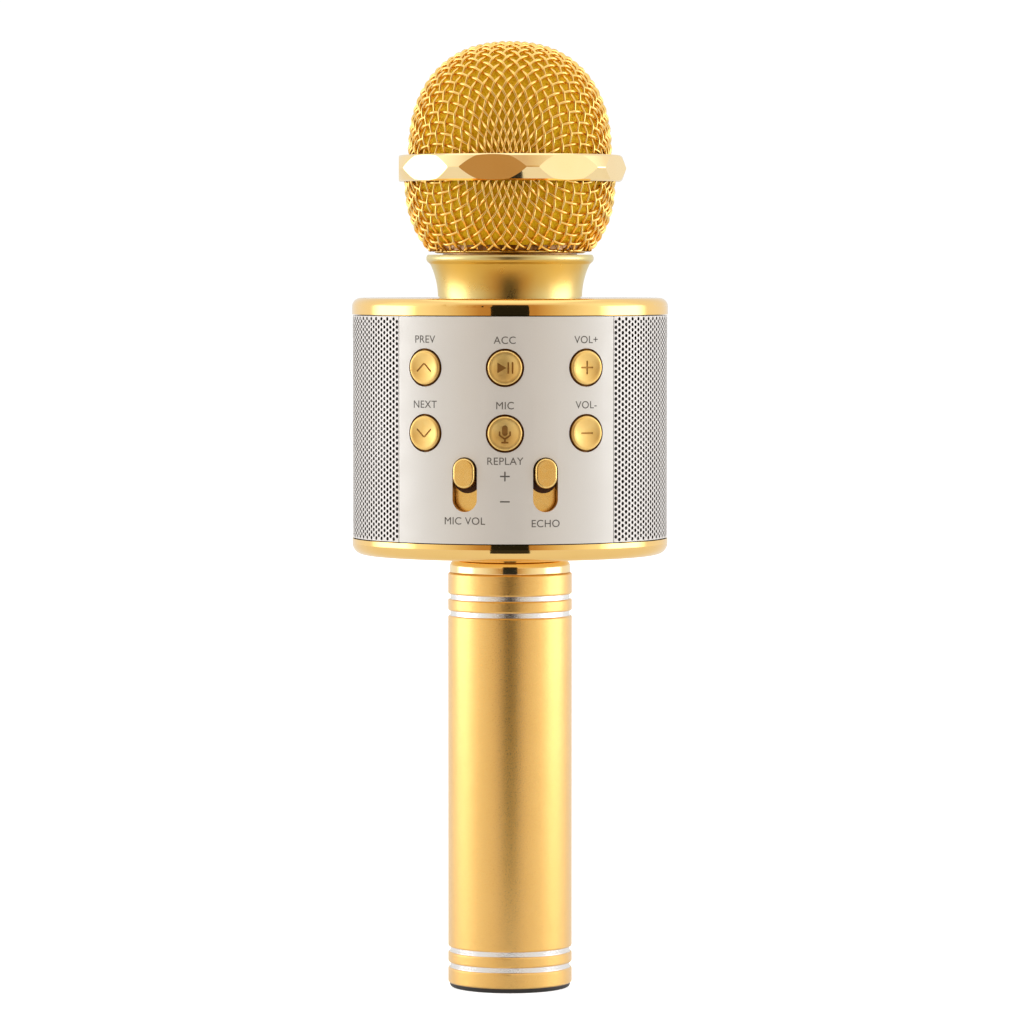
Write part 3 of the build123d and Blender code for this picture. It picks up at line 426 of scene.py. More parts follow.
def paper_cone():
    """Pressed paper pulp with short random fibres."""
    paint = Paint("paper_cone", (0.03, 0.03, 0.032), 0.85)
    fibre = paint.noise(0.35, 5.0, stretch=(1.0, 0.3, 1.0))
    paint.colour(paint.mix(fibre, (0.015, 0.015, 0.016), (0.06, 0.06, 0.062)))
    paint.rough(paint.span(fibre, 0.75, 0.95))
    paint.bump(fibre, 0.06)
    return paint.material


def cell_sleeve():
    """Shrink sleeve on the cell, blue, with the slight ripple of shrunk film."""
    paint = Paint("cell_sleeve", (0.03, 0.12, 0.38), 0.3, Coat_Weight=0.3)
    paint.uneven_colour(9.0, (0.025, 0.10, 0.33), (0.035, 0.14, 0.42), 3.0)
    paint.uneven_rough(1.0, 0.24, 0.38)
    paint.bump(paint.noise(3.0, 2.0, stretch=(1.0, 1.0, 0.3)), 0.03)
    return paint.material


def lamp_plastic():
    paint = Paint("lamp_plastic", (0.80, 0.85, 0.90), 0.35, Transmission_Weight=0.5, IOR=1.49)
    paint.uneven_rough(0.3, 0.28, 0.45, 2.0)
    paint.uneven_colour(0.5, (0.74, 0.80, 0.86), (0.84, 0.88, 0.92))
    paint.bump(paint.noise(0.2), 0.01)
    return paint.material


def label_ink():
    """Grey screen-printed ink, thin enough to look slightly uneven."""
    paint = Paint("label_ink", (0.10, 0.095, 0.09), 0.6)
    paint.uneven_colour(0.35, (0.07, 0.066, 0.062), (0.15, 0.142, 0.135), 3.0)
    paint.uneven_rough(0.2, 0.5, 0.7, 2.0)
    paint.bump(paint.noise(0.1), 0.004)
    return paint.material


MATERIALS = {
    "gold_chrome": gold_chrome(),
    "gold_band": gold_band(),
    "gold_button-120": button_gold(-120),
    "gold_button-90": button_gold(-90),
    "gold_button-60": button_gold(-60),
    "gold_knobs": small_gold("gold_knobs", 0.20, 0.30).material,
    # painted shadow under the slider knobs
    "dust_felt": dust_felt(),
    "thread_gold": thread_gold(),
    "handle_gold": handle_gold(),
    "neck_gold": neck_gold(),
    "wire_gold": wire_gold(),
    "foam_yellow": foam_yellow(),
    "panel_silver": panel_silver(),
    "grille_silver": grille_silver(),
    "black_plastic": black_plastic(),
    "black_rubber": black_rubber(),
    "plated_steel": plated_steel(),
    "board_green": board_green(),
    "chip_black": chip_black(),
    "dark_magnet": dark_magnet(),
    "paper_cone": paper_cone(),
    "cell_sleeve": cell_sleeve(),
    "lamp_plastic": lamp_plastic(),
    "label_ink": label_ink(),
}
SLOT_LOOKS = {
    "gold_chrome": "gold_chrome", "gold_band": "gold_band", "gold_satin": "handle_gold",
    "gold_wire": "wire_gold", "gold_foam": "foam_yellow", "panel_paint": "panel_silver",
    "grille_steel": "grille_silver", "black_plastic": "black_plastic",
    "black_rubber": "black_rubber", "board_green": "board_green", "chip_black": "chip_black",
    "plated_steel": "plated_steel", "ferrite": "dark_magnet", "paper_cone": "paper_cone",
    "cell_sleeve": "cell_sleeve", "lamp_plastic": "lamp_plastic",
}


OWN_LOOKS = {
    "neck_collar": "neck_gold", "head_ring": "thread_gold",
    "microphone_volume_knob": "gold_knobs", "echo_knob": "gold_knobs",
    **{name: "gold_button" + str(turn) for name, turn in BUTTON_TURNS.items()},
}


def dress_nodes():
    """Gives every CAD node its material, by its slot, apart from the few with their own."""
    for row in frame["record"]["subparts"]:
        look = OWN_LOOKS.get(row["node"], SLOT_LOOKS[row["material_slot"]])
        for holder in NODES[row["node"]].material_slots:
            holder.material = MATERIALS[look]


# ---------------------------------------------------------------- mesh building
def new_piece(name, points, faces, look, body, smooth=True):
    """A mesh object from points and faces, dressed, and riding on its body."""
    mesh = bpy.data.meshes.new(name)
    mesh.from_pydata([tuple(p) for p in points], [], faces)
    mesh.validate()
    mesh.polygons.foreach_set("use_smooth", [smooth] * len(mesh.polygons))
    mesh.materials.append(MATERIALS[look])
    piece = bpy.data.objects.new(name, mesh)
    bpy.context.scene.collection.objects.link(piece)
    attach(piece, body)
    return piece


def tube(path, radius, sides, closed=False):
    """Points and faces of a round tube along a path, its ends capped unless it is closed."""
    path = np.asarray(path, float)
    count = len(path)
    if closed:
        along = np.roll(path, -1, 0) - np.roll(path, 1, 0)
    else:
        along = np.gradient(path, axis=0)
    along /= np.linalg.norm(along, axis=1)[:, None]
    side = np.cross(along[0], (0.0, 0.0, 1.0))
    if np.linalg.norm(side) < 0.1:
        side = np.cross(along[0], (1.0, 0.0, 0.0))
    points = []
    for centre, way in zip(path, along):
        side = side - way * side.dot(way)
        side /= np.linalg.norm(side)
        other = np.cross(way, side)
        for k in range(sides):
            turn = tau * k / sides
            points.append(centre + radius * (cos(turn) * side + sin(turn) * other))
    faces = []
    for ring in range(count if closed else count - 1):
        here, there = ring * sides, (ring + 1) % count * sides
        for k in range(sides):
            nxt = (k + 1) % sides
            faces.append((here + k, here + nxt, there + nxt, there + k))
    if not closed:
        faces.append(tuple(reversed(range(sides))))
        faces.append(tuple(range((count - 1) * sides, count * sides)))
    return points, faces


def joined(meshes):
    """Several (points, faces) pairs as one."""
    points, faces = [], []
    for more_points, more_faces in meshes:
        shift = len(points)
        points.extend(more_points)
        faces.extend(tuple(index + shift for index in face) for face in more_faces)
    return points, faces


def turned(outline, steps=96):
    """Points and faces of a closed outline of (radius, z) pairs turned about the axis."""
    points = []
    for k in range(steps):
        turn = tau * k / steps
        points.extend((r * cos(turn), r * sin(turn), z) for r, z in outline)
    count = len(outline)
    faces = []
    for k in range(steps):
        here, there = k * count, (k + 1) % steps * count
        for row in range(count):
            nxt = (row + 1) % count
            faces.append((here + row, there + row, there + nxt, here + nxt))
    return points, faces


# ---------------------------------------------------------------- woven wire of the head
WIRE_R = 0.36 * MM
WIRE_PITCH = 2.7 * MM
WIRE_SIDES = 8
WIRE_STEPS = 4           # tube sections from one crossing to the next
NET_REACH = 30           # more crossings than any wire has on one side of the pole
NET_TURN = radians(45)   # the two straight wires through a basket's pole run at this to the front


class Dome:
    """A superellipse of revolution about the axis, with a straight skirt past its base."""

    def __init__(self, radius, depth, power, base, way):
        self.radius, self.depth, self.power = radius, depth, power
        self.base, self.way = base, way

    def rise(self, point):
        return self.way * (point[2] - self.base)

    def value(self, point):
        reach = np.hypot(point[0], point[1]) / self.radius
        rise = max(self.rise(point), 0.0) / self.depth
        return reach ** self.power + rise ** self.power - 1

    def slope(self, point):
        reach = max(np.hypot(point[0], point[1]), 1e-9)
        outward = self.power * (reach / self.radius) ** (self.power - 1) / self.radius
        rise = max(self.rise(point), 0.0) / self.depth
        upward = self.way * self.power * rise ** (self.power - 1) / self.depth
        return np.array([outward * point[0] / reach, outward * point[1] / reach, upward])

    def normal(self, point):
        slope = self.slope(point)
        return slope / np.linalg.norm(slope)

    def meridian(self, turn, pitch, skirt):
        """Points a pitch apart down the dome from its pole, in the direction turn."""
        turns = np.linspace(0, pi / 2, 2000)
        reach = self.radius * np.sin(turns) ** (2 / self.power)
        rise = self.depth * np.cos(turns) ** (2 / self.power)
        reach = np.append(reach, self.radius)
        rise = np.append(rise, -skirt)
        run = np.append(0, np.cumsum(np.hypot(np.diff(reach), np.diff(rise))))
        stops = np.arange(0, run[-1], pitch)
        out, up = np.interp(stops, run, reach), np.interp(stops, run, rise)
        return [np.array([r * cos(turn), r * sin(turn), self.base + self.way * h])
                for r, h in zip(out, up)]


def next_crossing(dome, first, second, before):
    """Where two wires cross next: a pitch from both neighbours, on the dome."""
    point = first + second - before
    for _ in range(12):
        gaps = np.array([
            ((point - first) ** 2).sum() - WIRE_PITCH ** 2,
            ((point - second) ** 2).sum() - WIRE_PITCH ** 2,
            dome.value(point),
        ])
        slopes = np.array([2 * (point - first), 2 * (point - second), dome.slope(point)])
        if abs(np.linalg.det(slopes)) < 1e-7:
            return None
        step = np.linalg.solve(slopes, gaps)
        point = point - np.clip(step, -MM, MM)
        if np.abs(step).max() < 1e-8:
            break
    else:
        return None
    return point if np.linalg.norm(point - before) > 0.5 * WIRE_PITCH else None


def woven_net(dome, skirt):
    """Crossings of a square wire cloth formed over a dome: every mesh side keeps its length."""
    front = -pi / 2
    net = {}
    for way_a in (-1, 1):
        line = dome.meridian(front + NET_TURN + (0 if way_a > 0 else pi), WIRE_PITCH, skirt)
        net.update({(way_a * k, 0): point for k, point in enumerate(line)})
    for way_b in (-1, 1):
        line = dome.meridian(front - NET_TURN + (0 if way_b > 0 else pi), WIRE_PITCH, skirt)
        net.update({(0, way_b * k): point for k, point in enumerate(line)})
    for way_a in (-1, 1):
        for way_b in (-1, 1):
            for a in range(1, NET_REACH):
                for b in range(1, NET_REACH):
                    first = net.get((way_a * (a - 1), way_b * b))
                    second = net.get((way_a * a, way_b * (b - 1)))
                    before = net.get((way_a * (a - 1), way_b * (b - 1)))
                    if first is None or second is None or before is None:
                        continue
                    point = next_crossing(dome, first, second, before)
                    if point is not None and dome.rise(point) > -skirt:
                        net[(way_a * a, way_b * b)] = point
    return net


def smooth_path(knots):
    """A Catmull-Rom curve through the knots."""
    knots = np.array(knots)
    ends = 2 * knots[0] - knots[1], 2 * knots[-1] - knots[-2]
    run = np.vstack([ends[0], knots, ends[1]])
    path = []
    for k in range(1, len(run) - 2):
        for step in range(WIRE_STEPS):
            t = step / WIRE_STEPS
            path.append(0.5 * (2 * run[k] + (run[k + 1] - run[k - 1]) * t
                               + (2 * run[k - 1] - 5 * run[k] + 4 * run[k + 1] - run[k + 2]) * t ** 2
                               + (3 * run[k] - run[k - 1] - 3 * run[k + 1] + run[k + 2]) * t ** 3))
    path.append(run[-2])
    return path


def unbroken(items):
    """Stretches of more than two items with no None among them."""
    run = []
    for item in [*items, None]:
        if item is not None:
            run.append(item)
            continue
        if len(run) > 2:
            yield run
        run = []


def wires_of(net, dome, keep):
    """Paths of all wires, each over one crossing and under the next, kept where keep says."""
    limit = max(max(abs(a), abs(b)) for a, b in net)
    wires = []
    for family in (0, 1):
        for row in range(-limit, limit + 1):
            crossings = []
            for k in range(-limit, limit + 1):
                point = net.get((k, row) if family == 0 else (row, k))
                if point is not None:
                    lift = WIRE_R * (1 if (k + row + family) % 2 else -1)
                    point = point + lift * dome.normal(point)
                crossings.append(point)
            for run in unbroken(crossings):
                wires.extend(unbroken(point if keep(point) else None for point in smooth_path(run)))
    return wires


def build_basket(name, dome, skirt, keep):
    """One half of the head's basket as woven wire, in place of its plain shell."""
    net = woven_net(dome, skirt)
    wires = wires_of(net, dome, keep)
    points, faces = joined([tube(path, WIRE_R, WIRE_SIDES) for path in wires])
    piece = new_piece(name + "_wires", points, faces, "wire_gold", "head")
    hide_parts(name)
    return piece


MESH_MIDDLE = 2 * WIRE_R + 0.04 * MM   # from the basket's outside to the middle of its cloth
UPPER_SKIRT = 3.3 * MM    # how far the wires run on behind the ring
LOWER_SKIRT = 2.7 * MM
HEM_RISE = 0.5 * MM       # where the lower wires end, above the basket's foot
HOOP_THICK_R = 0.4 * MM   # radius of the hoop's own wire
HOOP_GAP = 0.3 * MM
HOOP_STEPS = 96
UPPER_DOME = Dome(UPPER_R - MESH_MIDDLE, HEAD_TOP - BAND_HIGH - MESH_MIDDLE, UPPER_CURVE, BAND_HIGH, 1)
LOWER_DOME = Dome(LOWER_R - MESH_MIDDLE, LOWER_DEPTH - MESH_MIDDLE, LOWER_CURVE, BAND_LOW, -1)


def build_head():
    """Both halves of the basket, and the hoop inside the ends of the lower wires."""
    hem = HEAD_LOW + HEM_RISE
    build_basket("upper_basket", UPPER_DOME, UPPER_SKIRT, lambda point: True)
    build_basket("lower_basket", LOWER_DOME, LOWER_SKIRT, lambda point: point[2] > hem)
    rise = (BAND_LOW - hem) / LOWER_DOME.depth
    radius = LOWER_DOME.radius * (1 - rise ** LOWER_CURVE) ** (1 / LOWER_CURVE)
    radius -= 2 * WIRE_R + HOOP_GAP
    turns = [tau * k / HOOP_STEPS for k in range(HOOP_STEPS)]
    hoop = [(radius * cos(turn), radius * sin(turn), hem) for turn in turns]
    points, faces = tube(hoop, HOOP_THICK_R, 10, closed=True)
    new_piece("basket_hem", points, faces, "wire_gold", "head")


FOAM_INSET = 1.62 * MM    # from the basket's outside to the foam
FOAM_T = 3.0 * MM
FOAM_TIP_R = 0.05 * MM    # the outline stops this far from the axis
FOAM_LOWER_ROWS = 10
FOAM_UPPER_ROWS = 28
FOAM_STEPS = 128
FOAM_UNEVEN = 1 / 30000   # scatter of the foam's surface, as a share of its distance from the origin


def liner_side(inset):
    """Outline (radius, z) of one face of the liner, from its foot to its top."""
    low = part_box("foam_liner")[0].z
    side = []
    for k in range(FOAM_LOWER_ROWS):
        z = low + (BAND_LOW - low) * k / (FOAM_LOWER_ROWS - 1)
        rise = (BAND_LOW - z) / LOWER_DEPTH
        radius = LOWER_R * (1 - rise ** LOWER_CURVE) ** (1 / LOWER_CURVE)
        side.append((radius - inset, z))
    for k in range(FOAM_UPPER_ROWS):
        turn = pi / 2 * k / FOAM_UPPER_ROWS
        radius = (UPPER_R - inset) * cos(turn) ** (2 / UPPER_CURVE)
        rise = (HEAD_TOP - BAND_HIGH - inset) * sin(turn) ** (2 / UPPER_CURVE)
        side.append((radius, BAND_HIGH + rise))
    return [*side, (FOAM_TIP_R, HEAD_TOP - inset)]


def build_foam():
    """The foam liner: one soft shell that follows the inside of both baskets."""
    outline = liner_side(FOAM_INSET) + liner_side(FOAM_INSET + FOAM_T)[::-1]
    points, faces = turned(outline, FOAM_STEPS)
    scatter = np.abs(np.random.default_rng(4).normal(0, FOAM_UNEVEN, len(points)))
    points = [np.array(point) * (1 - share) for point, share in zip(points, scatter)]
    foam = new_piece("foam_liner_soft", points, faces, "foam_yellow", "head")
    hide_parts("foam_liner")


# ---------------------------------------------------------------- perforated grilles
HOLE_R = 0.49 * MM
HOLE_SIDES = 8
HOLE_PITCH = 1.36 * MM    # up and down; fitted to a whole number of holes
COLUMN_PITCH = 1.2 * MM   # sideways; fitted in the same way
SHEET_T = 0.3 * MM
SHEET_SINK = 0.2 * MM     # how far the sheet lies below the drum's face
SHEET_GAP = 0.35 * MM     # dark line left between the sheet and its neighbours
CELL_EDGE = ((1, 0), (1, 1), (0, 1), (-1, 1), (-1, 0), (-1, -1), (0, -1), (1, -1))


def punched_sheet(sheet_wide, sheet_low, sheet_high):
    """Flat (x, z) points and faces of a sheet with round holes in staggered columns."""
    columns = int(sheet_wide / COLUMN_PITCH)
    wide = sheet_wide / columns
    rows = int((sheet_high - sheet_low) / HOLE_PITCH)
    pitch = (sheet_high - sheet_low) / rows
    index, flat, faces = {}, [], []

    def corner(x, z):
        """The number of the point at x, z, which neighbouring cells share."""
        key = (round(x * 1e7), round(z * 1e7))
        if key not in index:
            index[key] = len(flat)
            flat.append((x, z))
        return index[key]

    for column in range(columns):
        left = -sheet_wide / 2 + column * wide
        middle = left + wide / 2
        odd = column % 2
        for row in range(rows if odd else rows - 1):
            z = sheet_low + (0 if odd else pitch / 2) + (row + 0.5) * pitch
            outline = [corner(middle + i * wide / 2, z + j * pitch / 2) for i, j in CELL_EDGE]
            ring = [len(flat) + k for k in range(HOLE_SIDES)]
            turns = [tau * k / HOLE_SIDES for k in range(HOLE_SIDES)]
            flat.extend((middle + HOLE_R * cos(turn), z + HOLE_R * sin(turn)) for turn in turns)
            for k in range(HOLE_SIDES):
                nxt = (k + 1) % HOLE_SIDES
                faces.append((outline[k], outline[nxt], ring[nxt], ring[k]))
        if odd:
            continue
        for low, high in ((sheet_low, sheet_low + pitch / 2), (sheet_high - pitch / 2, sheet_high)):
            for a, b in ((left, middle), (middle, left + wide)):
                faces.append((corner(a, low), corner(b, low), corner(b, high), corner(a, high)))
    return flat, faces


def build_grille(name, facing):
    """A curved sheet punched with staggered round holes, in place of its plain sheet."""
    outer = DRUM_R - SHEET_SINK
    half = radians(90 - PANEL_HALF) - SHEET_GAP / outer
    flat, faces = punched_sheet(2 * half * outer, DRUM_LOW, DRUM_HIGH)
    points = []
    for radius in (outer, outer - SHEET_T):
        for x, z in flat:
            turn = facing + x / outer
            points.append((radius * cos(turn), radius * sin(turn), z))
    count = len(flat)
    solid = list(faces)
    solid.extend(tuple(corner + count for corner in reversed(face)) for face in faces)
    borders = {}
    for face in faces:
        for a, b in zip(face, face[1:] + face[:1]):
            if (b, a) in borders:
                del borders[(b, a)]
            else:
                borders[(a, b)] = True
    solid.extend((b, a, a + count, b + count) for a, b in borders)
    piece = new_piece(name + "_sheet", points, solid, "grille_silver", "body", smooth=False)
    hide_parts(name)
    return piece


# ---------------------------------------------------------------- dark ring under the slider knobs: painted shadow
KNOB_SHADOW_T = 0.2 * MM
KNOB_SHADOW_REACH = 1.3 * MM      # how far the painted shadow shows above and below the knob
KNOB_SHADOW_SIDE = 0.75 * MM
KNOB_SHADOW_FIT = 0.02 * MM       # air between the dark ring and the knob
KNOB_SHADOW_LIFT = 0.01 * MM      # air between the dark ring and the shutter


def stadium(half_wide, low, high, count=32):
    """Corners of an upright slot outline, anticlockwise from its right-hand side."""
    outline = []
    for k in range(count):
        turn = tau * (k + 0.5) / count
        centre = high - half_wide if sin(turn) > 0 else low + half_wide
        outline.append((half_wide * cos(turn), centre + half_wide * sin(turn)))
    return outline


def build_knob_shadow(name, body):
    """A dark ring round the foot of a slider knob, lying on the knob's own shutter: the knob's painted
    shadow.
    """
    knob = bpy.data.objects[name]
    corners = [knob.matrix_world @ vertex.co for vertex in knob.data.vertices]
    middle = sum(corners, Vector()) / len(corners)
    out = Vector((middle.x, middle.y, 0)).normalized()
    side = Vector((-out.y, out.x, 0))
    depths = sorted({round(corner.dot(out), 5) for corner in corners})
    shutter = depths[1]    # depths[0] is the shutter's back
    pad = [corner for corner in corners if corner.dot(out) > (shutter + depths[-1]) / 2]
    half = max(corner.dot(side) for corner in pad)
    low = min(corner.z for corner in pad)
    high = max(corner.z for corner in pad)
    inner = stadium(half + KNOB_SHADOW_FIT, low, high)
    outer = stadium(half + KNOB_SHADOW_SIDE, low - KNOB_SHADOW_REACH, high + KNOB_SHADOW_REACH)
    points = []
    for depth in (shutter + KNOB_SHADOW_LIFT, shutter + KNOB_SHADOW_T):
        for ring in (outer, inner):
            points.extend(out * depth + side * x + Vector((0, 0, z)) for x, z in ring)
    count = len(inner)
    faces = []
    for k in range(count):
        nxt = (k + 1) % count
        for a, b in ((2, 3), (1, 0), (0, 2), (3, 1)):
            a, b = a * count, b * count
            faces.append((a + k, a + nxt, b + nxt, b + k))
    return new_piece(name.replace("_knob", "_felt"), points, faces, "dust_felt", body)


# ---------------------------------------------------------------- printed labels
PRINT_RISE = 0.03 * MM
LETTER_TALL = 1.9 * MM
LETTER_SHARE = 0.73       # height of a capital as a share of the typeface's size
LETTER_SPACE = 1.05
SIGN_STROKE = 0.34 * MM
SIGN_WIDE = 2.4 * MM
SIGN_STEPS = 6            # strips that a bar is bent in


def bend_round_drum(points, turn, height):
    """Wraps flat points (x right, y up, z out) onto the drum at the given direction."""
    wrapped = []
    for x, y, z in points:
        angle = turn + x / DRUM_R
        radius = DRUM_R + z
        wrapped.append((radius * cos(angle), radius * sin(angle), height + y))
    return wrapped


def print_words(name, words, turn_degrees, z_mm):
    """Words printed on the panel, centred at a direction and height."""
    curve = bpy.data.curves.new(name, "FONT")
    curve.body = words
    curve.align_x = "CENTER"
    curve.align_y = "CENTER"
    curve.size = LETTER_TALL / LETTER_SHARE
    curve.extrude = PRINT_RISE / 2
    curve.space_character = LETTER_SPACE
    holder = bpy.data.objects.new(name, curve)
    mesh = bpy.data.meshes.new_from_object(holder)
    points = [(v.co.x, v.co.y, v.co.z + PRINT_RISE / 2) for v in mesh.vertices]
    faces = [tuple(p.vertices) for p in mesh.polygons]
    bpy.data.objects.remove(holder)
    bent = bend_round_drum(points, radians(turn_degrees), z_mm * MM)
    return new_piece(name, bent, faces, "label_ink", "body", smooth=False)


def print_sign(name, bars, turn_degrees, z_mm):
    """Bars printed on the panel, each given as its width and height."""
    points, faces = [], []
    for wide, tall in bars:
        first = len(points)
        for x in np.linspace(-wide / 2, wide / 2, SIGN_STEPS + 1):
            for y, z in ((-tall / 2, 0), (tall / 2, 0), (tall / 2, PRINT_RISE), (-tall / 2, PRINT_RISE)):
                points.append((x, y, z))
        for step in range(SIGN_STEPS):
            here = first + 4 * step
            for k in range(4):
                nxt = (k + 1) % 4
                faces.append((here + k, here + 4 + k, here + 4 + nxt, here + nxt))
        faces.append((first + 3, first + 2, first + 1, first))
        last = first + 4 * SIGN_STEPS
        faces.append((last, last + 1, last + 2, last + 3))
    bent = bend_round_drum(points, radians(turn_degrees), z_mm * MM)
    return new_piece(name, bent, faces, "label_ink", "body", smooth=False)


LABELS = (
    ("label_previous", "PREV", -120.0, 165.0),
    ("label_play", "ACC", -90.0, 164.8),
    ("label_louder", "VOL+", -60.0, 164.9),
    ("label_next", "NEXT", -120.0, 148.9),
    ("label_microphone", "MIC", -90.0, 148.7),
    ("label_softer", "VOL-", -60.0, 148.8),
    ("label_replay", "REPLAY", -90.0, 135.0),
    ("label_mic_volume", "MIC VOL", -104.6, 120.2),
    ("label_echo", "ECHO", -75.5, 119.6),
)
ACROSS, UPRIGHT = (SIGN_WIDE, SIGN_STROKE), (SIGN_STROKE, SIGN_WIDE)
SIGNS = (
    ("label_plus", (ACROSS, UPRIGHT), -90.0, 131.35),
    ("label_minus", (ACROSS,), -90.0, 125.1),
)


# ---------------------------------------------------------------- stage, light and camera
EYE_Z = 0.184             # level with the neck
EYE_DISTANCE = 1.40
EYE_TURN = 1.8            # degrees to the right of the panel's direction
AIM_Z = 0.1213
LENS = 195.0
SENSOR = 36.0

FLOOR_SIZE = (24, 24)     # the white floor that the camera sees
FLOOR_GLOW = 0.75
BOUNCE_SIZE = (2.4, 2.4)  # the grey floor that lights the object from below
BOUNCE_GLOW = 0.3
GAP_DISTANCE = 1.9        # a dark gap behind the camera, mirrored as the dark marks on the gold
GAP_SIZE = (0.93, 2.4)
GAP_HALF = 14             # degrees either side of the camera that the dark floor runner spans
RUNNER_NEAR, RUNNER_FAR = 0.2, 1.95
SOFTBOX_PLACE = (0, 0.1, 1.6)
SOFTBOX_SIZE = 1.4
SOFTBOX_POWER = 2
OBJECT_MIDDLE = (0, 0, 0.13)


def aimed(holder, place, aim):
    """Puts an object at place, looking at aim."""
    holder.location = place
    holder.rotation_euler = (Vector(aim) - Vector(place)).to_track_quat("-Z", "Y").to_euler()


def build_softbox():
    light = bpy.data.lights.new("top_softbox", "AREA")
    light.shape = "RECTANGLE"
    light.size = light.size_y = SOFTBOX_SIZE
    light.energy = SOFTBOX_POWER
    holder = bpy.data.objects.new("top_softbox", light)
    bpy.context.scene.collection.objects.link(holder)
    aimed(holder, SOFTBOX_PLACE, OBJECT_MIDDLE)


def around(turn, distance, height):
    """A place at the given direction from the front, in degrees, with plus to the right."""
    angle = radians(turn - 90)
    return Vector((distance * cos(angle), distance * sin(angle), height))


def flat_card(name, place, size, look, aim=None):
    """A flat rectangle of the stage, which lies level or faces aim."""
    wide, tall = size[0] / 2, size[1] / 2
    mesh = bpy.data.meshes.new(name)
    mesh.from_pydata([(-wide, -tall, 0), (wide, -tall, 0), (wide, tall, 0), (-wide, tall, 0)],
                     [], [(0, 1, 2, 3)])
    mesh.materials.append(look)
    card = bpy.data.objects.new(name, mesh)
    bpy.context.scene.collection.objects.link(card)
    card.location = place
    if aim:
        aimed(card, place, aim)
    return card


def stage_paint(name, tone, roughness, glow=0.0):
    """Grey paint of this tone, which can give off white light of its own."""
    paint = Paint(name, (tone, tone, tone), roughness)
    paint.rough(paint.span(paint.noise(40.0), roughness - 0.03, roughness + 0.03))
    if glow:
        paint.set("Emission Color", (1, 1, 1, 1))
        paint.set("Emission Strength", glow)
    return paint.material


def hide_from(stage_piece, *rays):
    """Leaves a stage piece out of the named kinds of light path."""
    for ray in rays:
        setattr(stage_piece, "visible_" + ray, False)


def build_stage():
    floor = flat_card("floor", (0, 0, 0), FLOOR_SIZE, stage_paint("floor_white", 0.9, 0.6, FLOOR_GLOW))
    hide_from(floor, "glossy", "diffuse")
    grey = stage_paint("floor_grey", 0.6, 0.7, BOUNCE_GLOW)
    hide_from(flat_card("floor_bounce", (0, 0, -MM), BOUNCE_SIZE, grey), "camera")
    cloth = stage_paint("dark_cloth", 0.004, 0.9)
    gap = flat_card("dark_gap", around(EYE_TURN, GAP_DISTANCE, 0.2), GAP_SIZE, cloth, (0, 0, 0.15))
    runner = flat_card("dark_runner", (0, 0, MM), (1, 1), cloth)
    wedge = ((-GAP_HALF, RUNNER_FAR), (GAP_HALF, RUNNER_FAR),
             (GAP_HALF, RUNNER_NEAR), (-GAP_HALF, RUNNER_NEAR))
    for corner, (turn, distance) in zip(runner.data.vertices, wedge):
        corner.co = around(EYE_TURN + turn, distance, 0)
    for card in (gap, runner):
        hide_from(card, "camera", "shadow", "diffuse")
    build_softbox()
    build_world()


# Colour and brightness of the surroundings at each angle from the panel's direction, in degrees
ROUND_TINT = ((0, (1.0, 0.55, 0.22)), (20, (1.0, 0.60, 0.26)), (32, (1.0, 0.77, 0.46)),
              (45, (1.0, 0.92, 0.76)), (60, (1.0, 0.98, 0.92)), (80, (1.0, 1.0, 1.0)),
              (180, (1.0, 0.98, 0.94)))
ROUND_LIGHT = ((0, 0.50), (14, 0.50), (20, 0.52), (29, 0.68), (38, 0.80), (48, 0.92), (58, 1.04),
               (68, 1.18), (79, 1.30), (103, 1.30), (120, 1.0), (180, 0.85))
LIGHT_RANGE = 2.0         # brightness that the top of the brightness profile stands for
SIDE_LIGHT = 2.1          # added where the two soft panels stand, level with the object
SIDE_START = (68, 82)     # degrees over which a soft panel begins
SIDE_END = (122, 106)     # and over which it ends
SIDE_HEIGHT = (0.34, 0.14)    # steepness of the way there, over which it fades in from above
CEILING_LIGHT = 1.0
CEILING_HEIGHT = (0.45, 0.85)
BACKDROP_LIGHT = 1.05     # what the camera sees behind the object


def half_turns(angles):
    """Angles in degrees as shares of half a turn."""
    return [angle / 180 for angle in angles]


class Sky:
    """Shader nodes that turn a direction into the brightness of the surroundings."""

    def __init__(self, world):
        world.use_nodes = True
        self.tree = world.node_tree
        self.nodes, self.links = self.tree.nodes, self.tree.links

    def math(self, operation, *values):
        node = self.nodes.new("ShaderNodeMath")
        node.operation = operation
        for socket, value in zip(node.inputs, values):
            feed(self.tree, socket, value)
        return node.outputs[0]

    def ramp(self, value, start, end, low=0.0, high=1.0):
        """Maps value smoothly from start..end onto low..high."""
        node = self.nodes.new("ShaderNodeMapRange")
        node.interpolation_type = "SMOOTHSTEP"
        for socket, source in zip(node.inputs, (value, start, end, low, high)):
            feed(self.tree, socket, source)
        return node.outputs[0]

    def profile(self, value, stops):
        """Height, or colour, of the line through the stops at value, from 0 to 1."""
        node = self.nodes.new("ShaderNodeValToRGB")
        self.links.new(value, node.inputs[0])
        marks = node.color_ramp.elements
        while len(marks) < len(stops):
            marks.new(0.5)
        for mark, (place, tone) in zip(marks, stops):
            mark.position = place
            mark.color = (*tone, 1.0) if isinstance(tone, tuple) else (tone, tone, tone, 1.0)
        return node.outputs[0]

    def blend(self, factor, first, second):
        """A colour going from first to second as factor goes from 0 to 1."""
        node = self.nodes.new("ShaderNodeMix")
        node.data_type = "RGBA"
        self.links.new(factor, node.inputs["Factor"])
        feed(self.tree, node.inputs[6], first)
        feed(self.tree, node.inputs[7], second)
        return node.outputs[2]


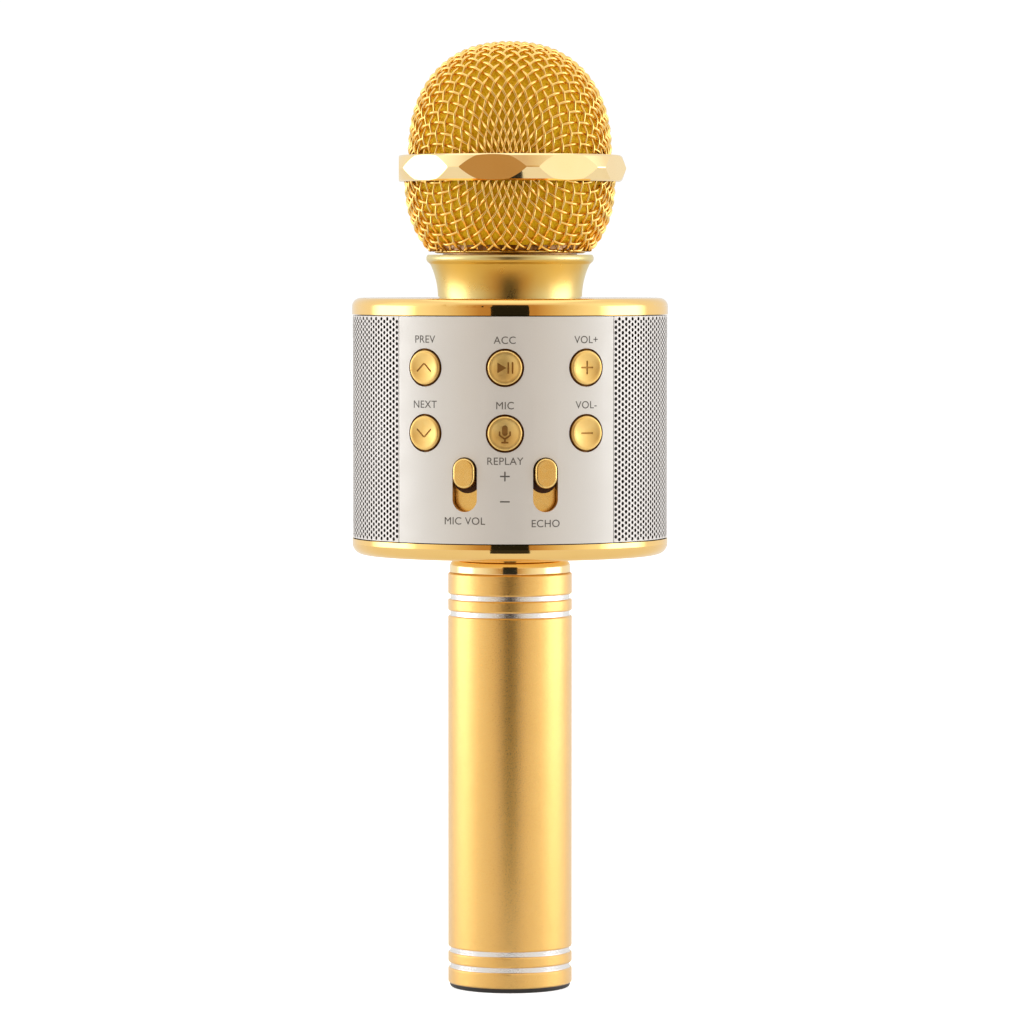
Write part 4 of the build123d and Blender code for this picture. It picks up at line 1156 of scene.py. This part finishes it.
def build_world():
    """Pale surroundings: dim in front of the panel, bright at the sides; white to the camera."""
    world = bpy.data.worlds.new("studio")
    sky = Sky(world)
    way = sky.nodes.new("ShaderNodeSeparateXYZ")
    sky.links.new(sky.nodes.new("ShaderNodeTexCoord").outputs["Generated"], way.inputs[0])
    across, forward, up = way.outputs
    level = sky.math("SQRT", sky.math("ADD", sky.math("MULTIPLY", across, across),
                                      sky.math("MULTIPLY", forward, forward)))
    toward = sky.math("DIVIDE", sky.math("MULTIPLY", forward, -1.0), sky.math("MAXIMUM", level, 0.001))
    from_front = sky.math("DIVIDE", sky.math("ARCCOSINE", toward), pi)
    stops = [(angle / 180, value / LIGHT_RANGE) for angle, value in ROUND_LIGHT]
    walls = sky.math("MULTIPLY", sky.profile(from_front, stops), LIGHT_RANGE)
    beside = sky.math("MULTIPLY", sky.ramp(from_front, *half_turns(SIDE_START)),
                      sky.ramp(from_front, *half_turns(SIDE_END)))
    level_with = sky.ramp(sky.math("ABSOLUTE", up), *SIDE_HEIGHT)
    panels = sky.math("MULTIPLY", sky.math("MULTIPLY", beside, level_with), SIDE_LIGHT)
    room = sky.math("ADD", walls, panels)
    overhead = sky.ramp(up, *CEILING_HEIGHT)
    light = sky.math("ADD", sky.math("MULTIPLY", room, sky.math("SUBTRACT", 1.0, overhead)),
                     sky.math("MULTIPLY", overhead, CEILING_LIGHT))
    seen = sky.nodes.new("ShaderNodeLightPath").outputs["Is Camera Ray"]
    strength = sky.ramp(seen, 0.0, 1.0, light, BACKDROP_LIGHT)
    background = sky.nodes["Background"]
    sky.links.new(strength, background.inputs["Strength"])
    warmth = sky.profile(from_front, [(angle / 180, tone) for angle, tone in ROUND_TINT])
    tint = sky.blend(sky.math("MAXIMUM", overhead, seen), warmth, (1.0, 1.0, 1.0, 1.0))
    sky.links.new(tint, background.inputs["Color"])
    bpy.context.scene.world = world


def build_camera():
    """A long lens level with the neck, looking slightly down at the middle of the microphone."""
    data = bpy.data.cameras.new("camera")
    data.lens = LENS
    data.sensor_width = SENSOR
    data.clip_end = 50
    holder = bpy.data.objects.new("camera", data)
    bpy.context.scene.collection.objects.link(holder)
    aimed(holder, around(EYE_TURN, EYE_DISTANCE, EYE_Z), (0, 0, AIM_Z))
    bpy.context.scene.camera = holder


dress_nodes()
build_head()
build_foam()
build_grille("left_grille", pi)
build_grille("right_grille", 0.0)
# dark rings under the slider knobs: painted shadow
build_knob_shadow("microphone_volume_knob", "microphone_volume_slider")
build_knob_shadow("echo_knob", "echo_slider")
for label in LABELS:
    print_words(*label)
for sign in SIGNS:
    print_sign(*sign)
build_stage()
build_camera()
bpy.context.scene.view_settings.view_transform = "Standard"
